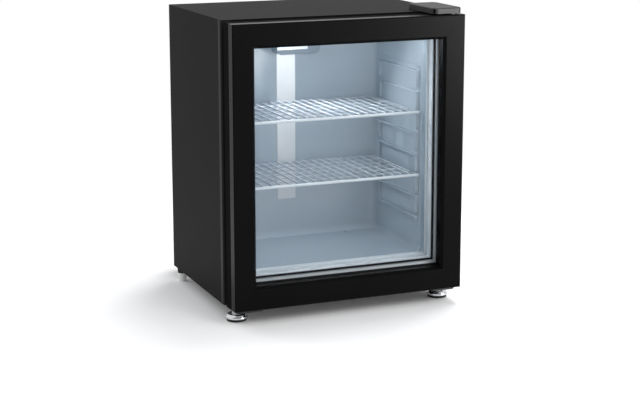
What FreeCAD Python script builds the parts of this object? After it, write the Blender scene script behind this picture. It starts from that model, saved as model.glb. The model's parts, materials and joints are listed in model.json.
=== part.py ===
"""Small hotel fridge with a framed glass door.

Millimetres. X to the right, Y to the rear, Z up. The origin is on the floor, under the middle
of the fridge. The door's front faces -Y, and the hinge is on the right.
"""
import FreeCAD
import Part
import math
import os
from FreeCAD import Vector

# Overall sizes
cabinet_width = 385.0
cabinet_height = 443.0
cabinet_depth = 258.0
door_thickness = 39.0
door_gap = 14.0
rear_unit_depth = 84.0
foot_height = 24.0
overrun = 5.0
smallest_run = 0.005
parallel_share = 0.9

# Cabinet walls
side_wall = 40.0
floor_wall = 49.5
ceiling_wall = 41.5
back_wall = 61.0
sheet = 1.2
return_width = 16.0
fold_radius = 3.0
liner_wall = 2.0
liner_corner = 10.0
strip_wall = 2.0
strip_depth = 13.0

# Racks and shelves
rack_top_gap = 55.6
rack_first_rib = 104.3
rack_ribs = 8
rack_front = 24.0
rack_rear_gap = 27.0
rack_wall = 1.6
rib_reach = 5.0
rib_height = 3.0
post_width = 6.0
post_reach = 4.4
rack_margin = 8.0
slot_height = 7.0
shelf_side_gap = 2.5
shelf_front = 14.5
shelf_rear_gap = 8.0
front_rail_radius = 2.3
rim_radius = 1.7
side_rim_radius = 1.5
wire_radius = 1.4
long_wires = 19
cross_wires = 5
weld_sink = 0.5
shelf_lift = 0.3
ribs_to_lower_shelf = 3
ribs_to_upper_shelf = 6

# Lamp
lamp_left = 37.0
lamp_width = 77.0
lamp_depth = 26.0
lamp_height = 40.0
lamp_corner = 10.0
lamp_wall = 1.8
lens_width = 53.5
lens_height = 10.0
lens_drop = 8.0
lens_wall = 2.0
board_thickness = 1.6
board_gap = 4.0
light_strip_left = 27.0
light_strip_width = 32.5
light_strip_length = 248.0
light_strip_thickness = 1.5

# Door frame and glass
stile_width = 36.0
top_rail_width = 37.5
bottom_rail_width = 37.0
frame_bevel = 4.0
bevel_depth = 5.0
frame_edge_radius = 1.5
glass_front = 18.0
glass_overlap = 10.0
glass_clearance = 2.0
pane = 4.0
spacer_depth = 10.0
spacer_width = 11.5
frame_wall = 2.0
trim_wall = 3.0
trim_cover = 22.0
rim_wall = 3.0
rim_reach = 11.5
gasket_inset = 15.0
gasket_width = 15.0
gasket_clearance = 0.3
key_length = 24.0
key_width = 9.0
key_thickness = 5.0
key_side_gap = 0.5
door_magnet_length = 14.0
door_magnet_side = 5.0
reed_length = 16.0
reed_radius = 1.6

# Hinges
hinge_inset = 14.0
hinge_depth = 20.0
pin_radius = 4.0
pin_head_radius = 6.5
pin_head_height = 1.2
pin_reach = 12.0
pin_clearance = 0.05
bush_radius = 6.5
bush_length = 14.0
plate_thickness = 3.0
plate_inset = 6.0
plate_width = 44.0
plate_front = 8.0
plate_overlap = 44.0
plate_corner = 6.0
door_clearance = 1.5
plate_hole = 2.6
screw_head_radius = 4.0
screw_head_height = 1.8
screw_length = 10.0
screw_spacing = 20.0
screw_side = 9.0
screw_rear = 9.0
cover_height = 9.0
cover_wall = 1.6
cover_margin = 3.0

# Feet
foot_inset = 18.5
foot_from_front = 47.0
cup_radius = 17.0
cup_top_radius = 15.0
cup_height = 7.5
pad_radius = 15.5
pad_height = 4.0
stud_radius = 4.0
stud_clearance = 0.08
nut_radius = 7.5
nut_height = 4.0
nut_sides = 6
foot_edge_share = 0.25
rear_foot_radius = 6.5
rear_foot_top_radius = 8.5
rear_foot_inset = 11.0
rear_foot_from_back = 13.0

# Cooling unit
unit_depth = 42.0
rail_height = 18.0
rail_thickness = 8.0
rail_inset = 30.0
upper_rail_drop = 24.0
lower_rail_rise = 60.0
coil_pipe_radius = 7.0
coil_inset = 52.5
coil_gap = 12.5
coil_runs = 4
coil_pitch = 26.0
coil_bend = 12.5
coil_bottom = 118.0
coil_foot = 15.0
tank_radius = 22.0
tank_gap = 10.0
tank_end_radius = 12.0
liquid_pipe_radius = 6.0
liquid_pipe_length = 31.5
boiler_radius = 24.0
boiler_length = 190.0
boiler_inset = 42.0
boiler_rise = 52.0
boiler_wall = 1.5
riser_radius = 6.0
riser_bend = 24.0
condenser_drop = 58.0
condenser_length = 220.0
condenser_radius = 7.0
fin_count = 22
fin_width = 44.0
fin_height = 46.0
fin_thickness = 1.0
fin_margin = 6.0
strap_thickness = 3.0
strap_edge = 6.0
strap_width = 12.0
strap_spacing = 100.0
evaporator_width = 180.0
evaporator_height = 140.0
evaporator_thickness = 3.0
evaporator_drop = 31.0
evaporator_pipe_radius = 5.0
evaporator_pipe_spacing = 60.0
evaporator_pipe_bend = 10.0
pipe_clearance = 1.0
guard_radius = 3.0
guard_rise = 326.0
guard_half_width = 110.0
guard_bend = 16.0

# Controls and drain
control_inset = 27.5
control_width = 60.0
control_depth = 52.0
control_height = 62.0
control_rise = 20.0
control_wall = 2.0
control_corner = 4.0
knob_radius = 14.0
knob_height = 12.0
knob_grip_width = 4.0
knob_grip_height = 4.0
knob_edge = 1.5
knob_gap = 0.6
knob_drop = 20.0
spindle_radius = 3.0
spindle_length = 20.0
spindle_clearance = 0.05
spindle_seat = 6.0
thermostat_size = 26.0
thermostat_depth = 14.0
inlet_width = 28.0
inlet_height = 20.0
inlet_depth = 17.0
inlet_proud = 2.0
inlet_wall = 3.0
inlet_rise = 6.0
inlet_pin = 2.0
inlet_pin_spacing = 7.0
drain_radius = 5.0
drain_bore = 3.5
drain_side = 90.0
drain_from_back = 16.0
drain_spout = 14.0
drain_bend = 12.0

# Places that follow from the sizes
half_width = cabinet_width / 2
door_front = -(door_thickness + door_gap + cabinet_depth + rear_unit_depth) / 2
door_back = door_front + door_thickness
cabinet_front = door_back + door_gap
cabinet_back = cabinet_front + cabinet_depth
unit_back = cabinet_back + rear_unit_depth
base = foot_height
top = base + cabinet_height
door_bottom = base + door_clearance
door_top = top - door_clearance
inside = half_width - side_wall
floor_level = base + floor_wall
ceiling_level = top - ceiling_wall
liner_front = cabinet_front + strip_depth
liner_back = cabinet_back - back_wall
hinge_x = half_width - hinge_inset
hinge_y = door_front + hinge_depth
unit_y = cabinet_back + unit_depth
rack_bottom = door_bottom + rack_first_rib
rack_pitch = (ceiling_level - rack_top_gap - rack_bottom) / (rack_ribs - 1)
tank_z = base + lower_rail_rise
boiler_x = half_width - boiler_inset
boiler_z = base + boiler_rise
control_left = -half_width + control_inset
tank_left = control_left + control_width + tank_gap
tank_right = boiler_x - boiler_radius - liquid_pipe_length
coil_left = -half_width + coil_inset
coil_right = boiler_x - boiler_radius - coil_gap - coil_pipe_radius - coil_bend / 2
condenser_z = top - condenser_drop
coil_z = base + coil_bottom
coil_top_z = coil_z + coil_pitch * (coil_runs - 1)
evaporator_top = condenser_z - evaporator_drop

nodes = {}


def block(x0, x1, y0, y1, z0, z1):
    """A box between two corners."""
    return Part.makeBox(x1 - x0, y1 - y0, z1 - z0, Vector(x0, y0, z0))


def rod(radius, start, end):
    """A round bar from one point to another."""
    start, end = Vector(*start), Vector(*end)
    return Part.makeCylinder(radius, (end - start).Length, start, end - start)


def rounded(shape, radius, wanted):
    """Rounds the edges for which wanted(edge's middle point, direction) is true."""
    chosen = []
    for edge in shape.Edges:
        if isinstance(edge.Curve, Part.Line) and wanted(edge.CenterOfMass, edge.Curve.Direction):
            chosen.append(edge)
    return shape.makeFillet(radius, chosen)


def pipe(radius, points, bend):
    """A round pipe along straight runs joined by arcs of one radius."""
    points = [Vector(*p) for p in points]
    edges = []
    here = points[0]
    for before, corner, after in zip(points, points[1:], points[2:]):
        back = (before - corner).normalize()
        ahead = (after - corner).normalize()
        half_turn = (math.pi - back.getAngle(ahead)) / 2
        reach = bend * math.tan(half_turn)
        enter = corner + back * reach
        leave = corner + ahead * reach
        middle_line = (back + ahead).normalize()
        centre = corner + middle_line * (bend / math.cos(half_turn))
        middle = centre - middle_line * bend
        if (enter - here).Length > smallest_run:
            edges.append(Part.LineSegment(here, enter).toShape())
        edges.append(Part.Arc(enter, middle, leave).toShape())
        here = leave
    edges.append(Part.LineSegment(here, points[-1]).toShape())
    path = Part.Wire(edges)
    circle = Part.Wire(Part.Circle(points[0], points[1] - points[0], radius).toShape())
    return path.makePipeShell([circle], True, False)


def extrude(outline, direction):
    """A solid from a closed list of points, pushed along a direction."""
    points = [Vector(*p) for p in outline]
    face = Part.Face(Part.makePolygon(points + [points[0]]))
    return face.extrude(Vector(*direction))


def cabinet():
    """Steel skins, foam, liner and the plastic strips round the opening."""
    for side, name in ((-1, "side_panel_left"), (1, "side_panel_right")):
        x_out = side * half_width
        x_in = x_out - side * sheet
        x_return = x_out - side * return_width
        skin = block(min(x_out, x_in), max(x_out, x_in), cabinet_front, cabinet_back, base, top)
        front_return = block(min(x_out, x_return), max(x_out, x_return),
                             cabinet_front, cabinet_front + sheet, base, top)
        panel = skin.fuse(front_return).removeSplitter()
        nodes[name] = rounded(panel, fold_radius, lambda p, d, x=x_out: abs(d.z) > parallel_share
                              and abs(p.x - x) < sheet / 2 and p.y < cabinet_front + sheet / 2)
    x = half_width - sheet
    x_return = half_width - return_width
    roof = block(-x, x, cabinet_front + sheet, cabinet_back, top - sheet, top)
    lip = block(-x_return, x_return, cabinet_front, cabinet_front + sheet, top - return_width, top)
    nodes["top_panel"] = roof.fuse(lip).removeSplitter()
    floor = block(-x, x, cabinet_front + sheet, cabinet_back, base, base + sheet)
    lip = block(-x_return, x_return, cabinet_front, cabinet_front + sheet, base, base + return_width)
    nodes["base_panel"] = floor.fuse(lip).removeSplitter()

    def wanted(point, direction):
        """Every edge of the cavity that isn't at its mouth."""
        return point.y > cabinet_front

    cavity = block(-inside, inside, cabinet_front - liner_corner, liner_back, floor_level, ceiling_level)
    cavity = rounded(cavity, liner_corner, wanted)
    shell = block(-inside - liner_wall, inside + liner_wall, liner_front, liner_back + liner_wall,
                  floor_level - liner_wall, ceiling_level + liner_wall)
    shell = rounded(shell, liner_corner + liner_wall, lambda p, d: p.y > liner_front + liner_wall)
    flange = block(-inside - liner_wall, inside + liner_wall, liner_front, liner_front + liner_wall,
                   floor_level - liner_wall, ceiling_level + liner_wall)
    shell = shell.fuse(flange)
    liner = shell.cut(cavity)
    foam = block(-x, x, cabinet_front + strip_wall, cabinet_back - sheet, base + sheet, top - sheet)
    hollow = block(-inside - liner_wall, inside + liner_wall, cabinet_front, liner_front,
                   floor_level - liner_wall, ceiling_level + liner_wall)
    foam = foam.cut(shell).cut(hollow)
    plate = block(-evaporator_width / 2, evaporator_width / 2, liner_back + liner_wall,
                  liner_back + liner_wall + evaporator_thickness,
                  evaporator_top - evaporator_height, evaporator_top)
    nodes["evaporator_plate"] = plate
    y_pipe = liner_back + liner_wall + evaporator_thickness + evaporator_pipe_radius
    half_loop = evaporator_pipe_spacing / 2
    z_high = evaporator_top - evaporator_pipe_bend
    z_low = evaporator_top - evaporator_height + evaporator_pipe_bend
    loop = [(half_loop, unit_y, condenser_z), (half_loop, unit_y, z_high), (half_loop, y_pipe, z_high),
            (-half_loop, y_pipe, z_high), (-half_loop, y_pipe, z_low), (half_loop, y_pipe, z_low),
            (half_loop, unit_y, z_low), (half_loop, unit_y, coil_top_z)]
    tube_run = pipe(evaporator_pipe_radius, loop, evaporator_pipe_bend)
    nodes["evaporator_tube"] = tube_run
    rear = block(-x, x, cabinet_back - sheet, cabinet_back, base + sheet, top - sheet)
    for z in (z_low, z_high):
        hole = rod(evaporator_pipe_radius + pipe_clearance, (half_loop, cabinet_back - sheet - overrun, z),
                   (half_loop, cabinet_back + overrun, z))
        rear = rear.cut(hole)
    drain_x, drain_y = drain_side, liner_back - drain_from_back
    outlet_z = base + sheet + drain_bend + drain_radius
    route = [(drain_x, drain_y, floor_level - liner_wall), (drain_x, drain_y, outlet_z),
             (drain_x, cabinet_back + drain_spout, outlet_z)]
    tube = pipe(drain_radius, route, drain_bend)
    bore = pipe(drain_bore, route, drain_bend)
    longer = rod(drain_bore, (drain_x, drain_y, floor_level - liner_wall * 2),
                 (drain_x, drain_y, floor_level + liner_wall))
    nodes["drain_tube"] = tube.cut(bore)
    nodes["rear_panel"] = rear.cut(rod(drain_radius, (drain_x, cabinet_back - overrun, outlet_z),
                                       (drain_x, cabinet_back + overrun, outlet_z)))
    nodes["foam_body"] = foam.cut(plate).cut(tube_run).cut(tube)
    nodes["liner"] = liner.cut(longer)
    strips()


def strips():
    """Four plastic strips that cover the foam between the steel front and the liner."""
    x_out, z_low, z_high = half_width - return_width, base + return_width, top - return_width
    z0, z1 = floor_level, ceiling_level
    y0, y1 = cabinet_front, cabinet_front + strip_wall
    pieces = []
    for side in (-1, 1):
        a, b = side * x_out, side * inside
        leg = block(min(a, b), max(a, b), y0, y1, z_low, z_high)
        c = b + side * liner_wall
        inner = block(min(b, c), max(b, c), y0, liner_front, z0, z1)
        pieces.append(leg.fuse(inner).removeSplitter())
    for z_edge, z_in, step in ((z_low, z0, -1), (z_high, z1, 1)):
        leg = block(-inside, inside, y0, y1, min(z_edge, z_in), max(z_edge, z_in))
        c = z_in + step * liner_wall
        inner = block(-inside, inside, y0, liner_front, min(z_in, c), max(z_in, c))
        pieces.append(leg.fuse(inner).removeSplitter())
    nodes["breaker_strips"] = Part.makeCompound(pieces)


def rib_top(level):
    """The height of one rib's upper face, counted from 1 at the bottom."""
    return rack_bottom + rack_pitch * (level - 1)


def racks():
    """Ribbed racks on both side walls. Each rib carries one edge of a shelf."""
    y0 = cabinet_front + rack_front
    y1 = liner_back - rack_rear_gap
    z0 = rib_top(1) - rack_margin
    z1 = rib_top(rack_ribs) + rack_margin
    for side, name in ((-1, "side_rack_left"), (1, "side_rack_right")):
        wall = side * inside
        face = wall - side * rack_wall
        tip = face - side * rib_reach
        post_tip = face - side * post_reach
        rack = block(min(wall, face), max(wall, face), y0, y1, z0, z1)
        for y in (y0, y1 - post_width):
            post = block(min(face, post_tip), max(face, post_tip), y, y + post_width, z0, z1)
            rack = rack.fuse(post)
        for level in range(1, rack_ribs + 1):
            z = rib_top(level)
            slot = block(min(face, post_tip), max(face, post_tip), y0, y1, z, z + slot_height)
            rack = rack.cut(slot)
            rib = block(min(face, tip), max(face, tip), y0, y1, z - rib_height, z)
            rack = rack.fuse(rib)
        nodes[name] = rack.removeSplitter()


def shelf(level):
    """A grid of coated wires: a thick front rail, a rim and two layers of wires."""
    reach = inside - rack_wall - shelf_side_gap
    y0 = cabinet_front + shelf_front + front_rail_radius
    y1 = liner_back - shelf_rear_gap
    z = rib_top(level) + shelf_lift + rim_radius
    grid = rod(front_rail_radius, (-reach, y0, z), (reach, y0, z))
    grid = grid.fuse(rod(rim_radius, (-reach, y1, z), (reach, y1, z)))
    wires = []
    for side in (-1, 1):
        x = side * (reach - rim_radius)
        wires.append(rod(side_rim_radius, (x, y0, z), (x, y1, z)))
    for i in range(1, cross_wires + 1):
        y = y0 + (y1 - y0) * i / (cross_wires + 1)
        wires.append(rod(wire_radius, (-reach + rim_radius, y, z), (reach - rim_radius, y, z)))
    z_long = z + wire_radius * 2 - weld_sink
    for i in range(1, long_wires + 1):
        x = -reach + 2 * reach * i / (long_wires + 1)
        wires.append(rod(wire_radius, (x, y0, z_long), (x, y1, z_long)))
    return grid.multiFuse(wires)


def lamp():
    """The lamp box under the ceiling, its lens and board, and the light strip below it."""
    x0, x1 = -lamp_left, -lamp_left + lamp_width
    y1 = liner_back
    y0 = y1 - lamp_depth
    z1 = ceiling_level
    z0 = z1 - lamp_height
    body = block(x0, x1, y0, y1, z0, z1)
    body = rounded(body, lamp_corner, lambda p, d: abs(d.y) > parallel_share and p.z < z0 + lamp_wall)
    inner = block(x0 + lamp_wall, x1 - lamp_wall, y0 + lamp_wall, y1 - lamp_wall, z0 + lamp_wall,
                  z1 - lamp_wall)
    inner = rounded(inner, lamp_corner - lamp_wall,
                    lambda p, d: abs(d.y) > parallel_share and p.z < z0 + lamp_wall * 2)
    rounded_rear = block(x0, x1, y1 - liner_corner, y1, z1 - liner_corner, z1)
    drum = rod(liner_corner, (x0 - overrun, y1 - liner_corner, z1 - liner_corner),
               (x1 + overrun, y1 - liner_corner, z1 - liner_corner))
    spare = rounded_rear.cut(drum)
    lens_x0 = x0 + lamp_wall
    lens_z0 = z0 + lens_drop
    window = block(lens_x0, lens_x0 + lens_width, y0 - overrun, y0 + lamp_wall + overrun,
                   lens_z0, lens_z0 + lens_height)
    nodes["lamp_housing"] = body.cut(inner).cut(window).cut(spare)
    nodes["lamp_lens"] = block(lens_x0, lens_x0 + lens_width, y0, y0 + lens_wall,
                               lens_z0, lens_z0 + lens_height)
    y_board = y0 + lens_wall + board_gap
    nodes["led_board"] = block(lens_x0 + lamp_wall, lens_x0 + lens_width,
                               y_board, y_board + board_thickness, lens_z0, z1 - lamp_wall)
    strip_x = -light_strip_left
    strip = block(strip_x, strip_x + light_strip_width, liner_back - light_strip_thickness, liner_back,
                  z0 - light_strip_length, z0)
    nodes["light_strip"] = strip


def member_outline(width):
    """A hollow door frame member as two lists of (across, depth) points.

    Across runs from the outer edge to the inner edge of the frame, and depth from front to back.
    """
    pocket = width - glass_overlap - glass_clearance
    back = door_thickness - trim_wall
    outside = [(0, frame_edge_radius), (frame_edge_radius, 0), (width - frame_bevel, 0),
               (width, bevel_depth), (width, glass_front), (pocket, glass_front),
               (pocket, back), (width - trim_cover, back), (width - trim_cover, door_thickness),
               (0, door_thickness)]
    chamber = pocket - frame_wall
    hollow = [(frame_wall, frame_wall), (chamber, frame_wall), (chamber, back - frame_wall),
              (frame_wall, back - frame_wall)]
    return outside, hollow


def member(width, place, direction, low, high):
    """One member: its outline set at a place and pushed along the frame, then mitred at both ends."""
    outside, hollow = member_outline(width)
    solid = extrude([place(u, v) for u, v in outside], direction)
    core = extrude([place(u, v) for u, v in hollow], direction)
    solid = solid.cut(core)
    for cutter in (low, high):
        solid = solid.cut(cutter)
    return solid


def mitre(corner_x, corner_z, step_x, step_z, along_x):
    """The wedge that a member loses at one corner of the door."""
    rail = top_rail_width if step_z < 0 else bottom_rail_width
    slope_x, slope_z = step_x * stile_width, step_z * rail
    stretch = 1 + overrun / stile_width
    near = (corner_x - slope_x * (stretch - 1), corner_z - slope_z * (stretch - 1))
    far = (corner_x + slope_x * stretch, corner_z + slope_z * stretch)
    if along_x:
        third = (near[0], far[1])
    else:
        third = (far[0], near[1])
    points = [(p[0], door_front - overrun, p[1]) for p in (near, far, third)]
    return extrude(points, (0, door_thickness + overrun * 2, 0))


def door_frame():
    """Four hollow members with mitred ends, and a key in each corner."""
    x, z0, z1 = half_width, door_bottom, door_top
    span_x = (2 * x, 0, 0)
    span_z = (0, 0, z1 - z0)
    y = door_front
    nodes["door_rail_bottom"] = member(
        bottom_rail_width, lambda u, v: (-x, y + v, z0 + u), span_x,
        mitre(-x, z0, 1, 1, True), mitre(x, z0, -1, 1, True))
    nodes["door_rail_top"] = member(
        top_rail_width, lambda u, v: (-x, y + v, z1 - u), span_x,
        mitre(-x, z1, 1, -1, True), mitre(x, z1, -1, -1, True))
    nodes["door_stile_left"] = member(
        stile_width, lambda u, v: (-x + u, y + v, z0), span_z,
        mitre(-x, z0, 1, 1, False), mitre(-x, z1, 1, -1, False))
    nodes["door_stile_right"] = member(
        stile_width, lambda u, v: (x - u, y + v, z0), span_z,
        mitre(x, z0, -1, 1, False), mitre(x, z1, -1, -1, False))
    keys = []
    y1 = door_back - trim_wall - frame_wall
    y0 = y1 - key_thickness
    start = frame_wall + key_side_gap
    for sx in (-1, 1):
        for z_edge, sz in ((z0, 1), (z1, -1)):
            ax, bx = sx * (x - start), sx * (x - start - key_length)
            cx = sx * (x - start - key_width)
            az, bz = z_edge + sz * start, z_edge + sz * (start + key_length)
            cz = z_edge + sz * (start + key_width)
            level = block(min(ax, bx), max(ax, bx), y0, y1, min(az, cz), max(az, cz))
            upright = block(min(ax, cx), max(ax, cx), y0, y1, min(az, bz), max(az, bz))
            keys.append(level.fuse(upright).removeSplitter())
    nodes["corner_keys"] = Part.makeCompound(keys)


def frame_box(side, low, high, y0, y1):
    """A flat slab of the door that lies a given way in from its sides, bottom and top."""
    return block(-half_width + side, half_width - side, y0, y1, door_bottom + low, door_top - high)


def four_strips(outer, inner, y0, y1):
    """Four strips that make a frame: side strips run full height, the others lie between them."""
    (side, low, high), (side_in, low_in, high_in) = outer, inner
    x0, x1 = half_width - side, half_width - side_in
    z0, z1 = door_bottom + low, door_top - high
    z2, z3 = door_bottom + low_in, door_top - high_in
    return [block(-x0, -x1, y0, y1, z0, z1), block(x1, x0, y0, y1, z0, z1),
            block(-x1, x1, y0, y1, z0, z2), block(-x1, x1, y0, y1, z3, z1)]


def glazing():
    """Two panes with a spacer between them, the white trim behind, and the gasket."""
    widths = [stile_width, bottom_rail_width, top_rail_width]
    edges = [w - glass_overlap for w in widths]
    y = door_front + glass_front
    nodes["outer_glass"] = frame_box(*edges, y, y + pane)
    y += pane
    inner_edges = [e + spacer_width for e in edges]
    nodes["glass_spacer"] = Part.makeCompound(four_strips(edges, inner_edges, y, y + spacer_depth))
    y += spacer_depth
    nodes["inner_glass"] = frame_box(*edges, y, y + pane)
    y0, y1 = door_back - trim_wall, door_back
    outer = [w - trim_cover for w in widths]
    inner_rim = [w - rim_wall for w in widths]
    flat_strips = four_strips(outer, widths, y0, y1)
    rim_strips = four_strips(inner_rim, widths, y1, y1 + rim_reach)
    pieces = [flat.fuse(rim).removeSplitter() for flat, rim in zip(flat_strips, rim_strips)]
    nodes["door_inner_frame"] = Part.makeCompound(pieces)
    inset = [gasket_inset] * 3
    inset_in = [gasket_inset + gasket_width] * 3
    y2 = cabinet_front - gasket_clearance
    ring = frame_box(*inset, door_back, y2).cut(frame_box(*inset_in, door_back - overrun, y2 + overrun))
    nodes["door_gasket"] = ring


def switch():
    """The magnet in the door's top rail and the reed switch behind the cabinet's top lip."""
    x0 = -door_magnet_length / 2
    z = door_top - frame_wall
    y1 = door_back - trim_wall - frame_wall
    nodes["door_magnet"] = block(x0, -x0, y1 - door_magnet_side, y1, z - door_magnet_side, z)
    y = cabinet_front + sheet + reed_radius
    z = top - sheet - reed_radius * 2
    reed = rod(reed_radius, (-reed_length / 2, y, z), (reed_length / 2, y, z))
    nodes["reed_switch"] = reed
    nodes["foam_body"] = nodes["foam_body"].cut(reed)


def plate(side, low):
    """A hinge or foot plate with rounded front corners, lying under the cabinet or on it."""
    x0 = side * (half_width - plate_inset)
    x1 = x0 - side * plate_width
    y0, y1 = door_front + plate_front, cabinet_front + plate_overlap
    z0 = base - plate_thickness if low else top
    flat = block(min(x0, x1), max(x0, x1), y0, y1, z0, z0 + plate_thickness)
    return rounded(flat, plate_corner, lambda p, d: abs(d.z) > parallel_share)


def screw_places(side):
    """Where the plate screws stand."""
    outer = half_width - plate_inset - screw_side
    inner = outer - plate_width + screw_side * 2
    rear_y = cabinet_front + plate_overlap - screw_rear
    return [(side * x, y) for x in (outer, inner) for y in (rear_y, rear_y - screw_spacing)]


def screws(side, low):
    """Pan head screws through a plate, with their holes."""
    made, holes = [], []
    for x, y in screw_places(side):
        if low:
            head_z, step = base - plate_thickness, 1
        else:
            head_z, step = top + plate_thickness, -1
        head = rod(screw_head_radius, (x, y, head_z - step * screw_head_height), (x, y, head_z))
        shank = rod(plate_hole, (x, y, head_z), (x, y, head_z + step * screw_length))
        made.append(head.fuse(shank).removeSplitter())
        holes.append(rod(plate_hole, (x, y, head_z - step * overrun), (x, y, head_z + step * screw_length)))
    return made, holes


def hinges():
    """Plates, pins, bushes, screws and the cover over the upper plate."""
    places = (("hinge_plate_lower", 1, True), ("hinge_plate_upper", 1, False),
              ("foot_plate_left", -1, True))
    all_screws = []
    for name, side, low in places:
        flat = plate(side, low)
        made, holes = screws(side, low)
        all_screws += made
        for hole in holes:
            flat = flat.cut(hole)
            skin = "base_panel" if low else "top_panel"
            nodes[skin] = nodes[skin].cut(hole)
            nodes["foam_body"] = nodes["foam_body"].cut(hole)
        if low:
            hole_x = side * (half_width - foot_inset)
            hole_y = door_front + foot_from_front
            flat = flat.cut(rod(stud_radius + stud_clearance,
                                (hole_x, hole_y, base - plate_thickness - overrun),
                                (hole_x, hole_y, base + overrun)))
        nodes[name] = flat
    nodes["plate_screws"] = Part.makeCompound(all_screws)
    bushes = []
    ends = ((base - plate_thickness, base, door_bottom, 1, "lower", "door_rail_bottom"),
            (top + plate_thickness, top, door_top, -1, "upper", "door_rail_top"))
    for z_out, z_in, z_door, step, word, rail in ends:
        tip = z_door + step * pin_reach
        pin = rod(pin_radius, (hinge_x, hinge_y, z_out), (hinge_x, hinge_y, tip))
        head = rod(pin_head_radius, (hinge_x, hinge_y, z_out - step * pin_head_height),
                   (hinge_x, hinge_y, z_out))
        nodes["hinge_pin_" + word] = pin.fuse(head).removeSplitter()
        hole = rod(pin_radius, (hinge_x, hinge_y, z_out - step * overrun),
                   (hinge_x, hinge_y, z_in + step * overrun))
        plate_name = "hinge_plate_" + word
        nodes[plate_name] = nodes[plate_name].cut(hole)
        bush = rod(bush_radius, (hinge_x, hinge_y, z_door), (hinge_x, hinge_y, z_door + step * bush_length))
        bore = rod(pin_radius + pin_clearance, (hinge_x, hinge_y, z_door - step * overrun),
                   (hinge_x, hinge_y, tip + step * pin_head_height))
        bushes.append(bush.cut(bore))
        for frame_part in (rail, "door_stile_right"):
            nodes[frame_part] = nodes[frame_part].cut(bush)
    nodes["door_bushes"] = Part.makeCompound(bushes)
    x1 = half_width - plate_inset + cover_margin
    x0 = x1 - plate_width - cover_margin * 2
    y0, y1 = door_front + plate_front - cover_margin, cabinet_front + plate_overlap + cover_margin
    outer = block(x0, x1, y0, y1, top, top + cover_height)
    outer = rounded(outer, plate_corner + cover_margin, lambda p, d: abs(d.z) > parallel_share)
    outer = rounded(outer, cover_wall, lambda p, d: p.z > top + cover_height - cover_wall / 2)
    room = block(x0 + cover_wall, x1 - cover_wall, y0 + cover_wall, y1 - cover_wall,
                 top - overrun, top + cover_height - cover_wall)
    nodes["hinge_cover"] = outer.cut(room)


def front_foot(side, name):
    """A levelling foot: rubber pad, chromed cup, and a threaded stud with its nut."""
    x, y = side * (half_width - foot_inset), door_front + foot_from_front
    pad = rod(pad_radius, (x, y, 0), (x, y, pad_height))
    edge = [e for e in pad.Edges if e.CenterOfMass.z < pad_height / 2 and isinstance(e.Curve, Part.Circle)]
    nodes[name + "_pad"] = pad.makeChamfer(pad_height * foot_edge_share, edge)
    cup = Part.makeCone(cup_radius, cup_top_radius, cup_height, Vector(x, y, pad_height))
    crown = [e for e in cup.Edges if e.CenterOfMass.z > pad_height + cup_height / 2
             and isinstance(e.Curve, Part.Circle)]
    cup = cup.makeFillet(cup_height * foot_edge_share, crown)
    stud = rod(stud_radius, (x, y, pad_height + cup_height), (x, y, base))
    corners = []
    for i in range(nut_sides):
        turn = 2 * math.pi * i / nut_sides
        corners.append((x + nut_radius * math.cos(turn), y + nut_radius * math.sin(turn),
                        pad_height + cup_height))
    nut = extrude(corners, (0, 0, nut_height))
    nodes[name + "_cup"] = cup
    nodes[name + "_stud"] = stud.fuse(nut).removeSplitter()


def rear_feet():
    """Two plain black feet near the cabinet's rear corners."""
    made = []
    for side in (-1, 1):
        x, y = side * (half_width - rear_foot_inset), cabinet_back - rear_foot_from_back
        made.append(Part.makeCone(rear_foot_radius, rear_foot_top_radius, base, Vector(x, y, 0)))
    nodes["rear_feet"] = Part.makeCompound(made)


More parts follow.
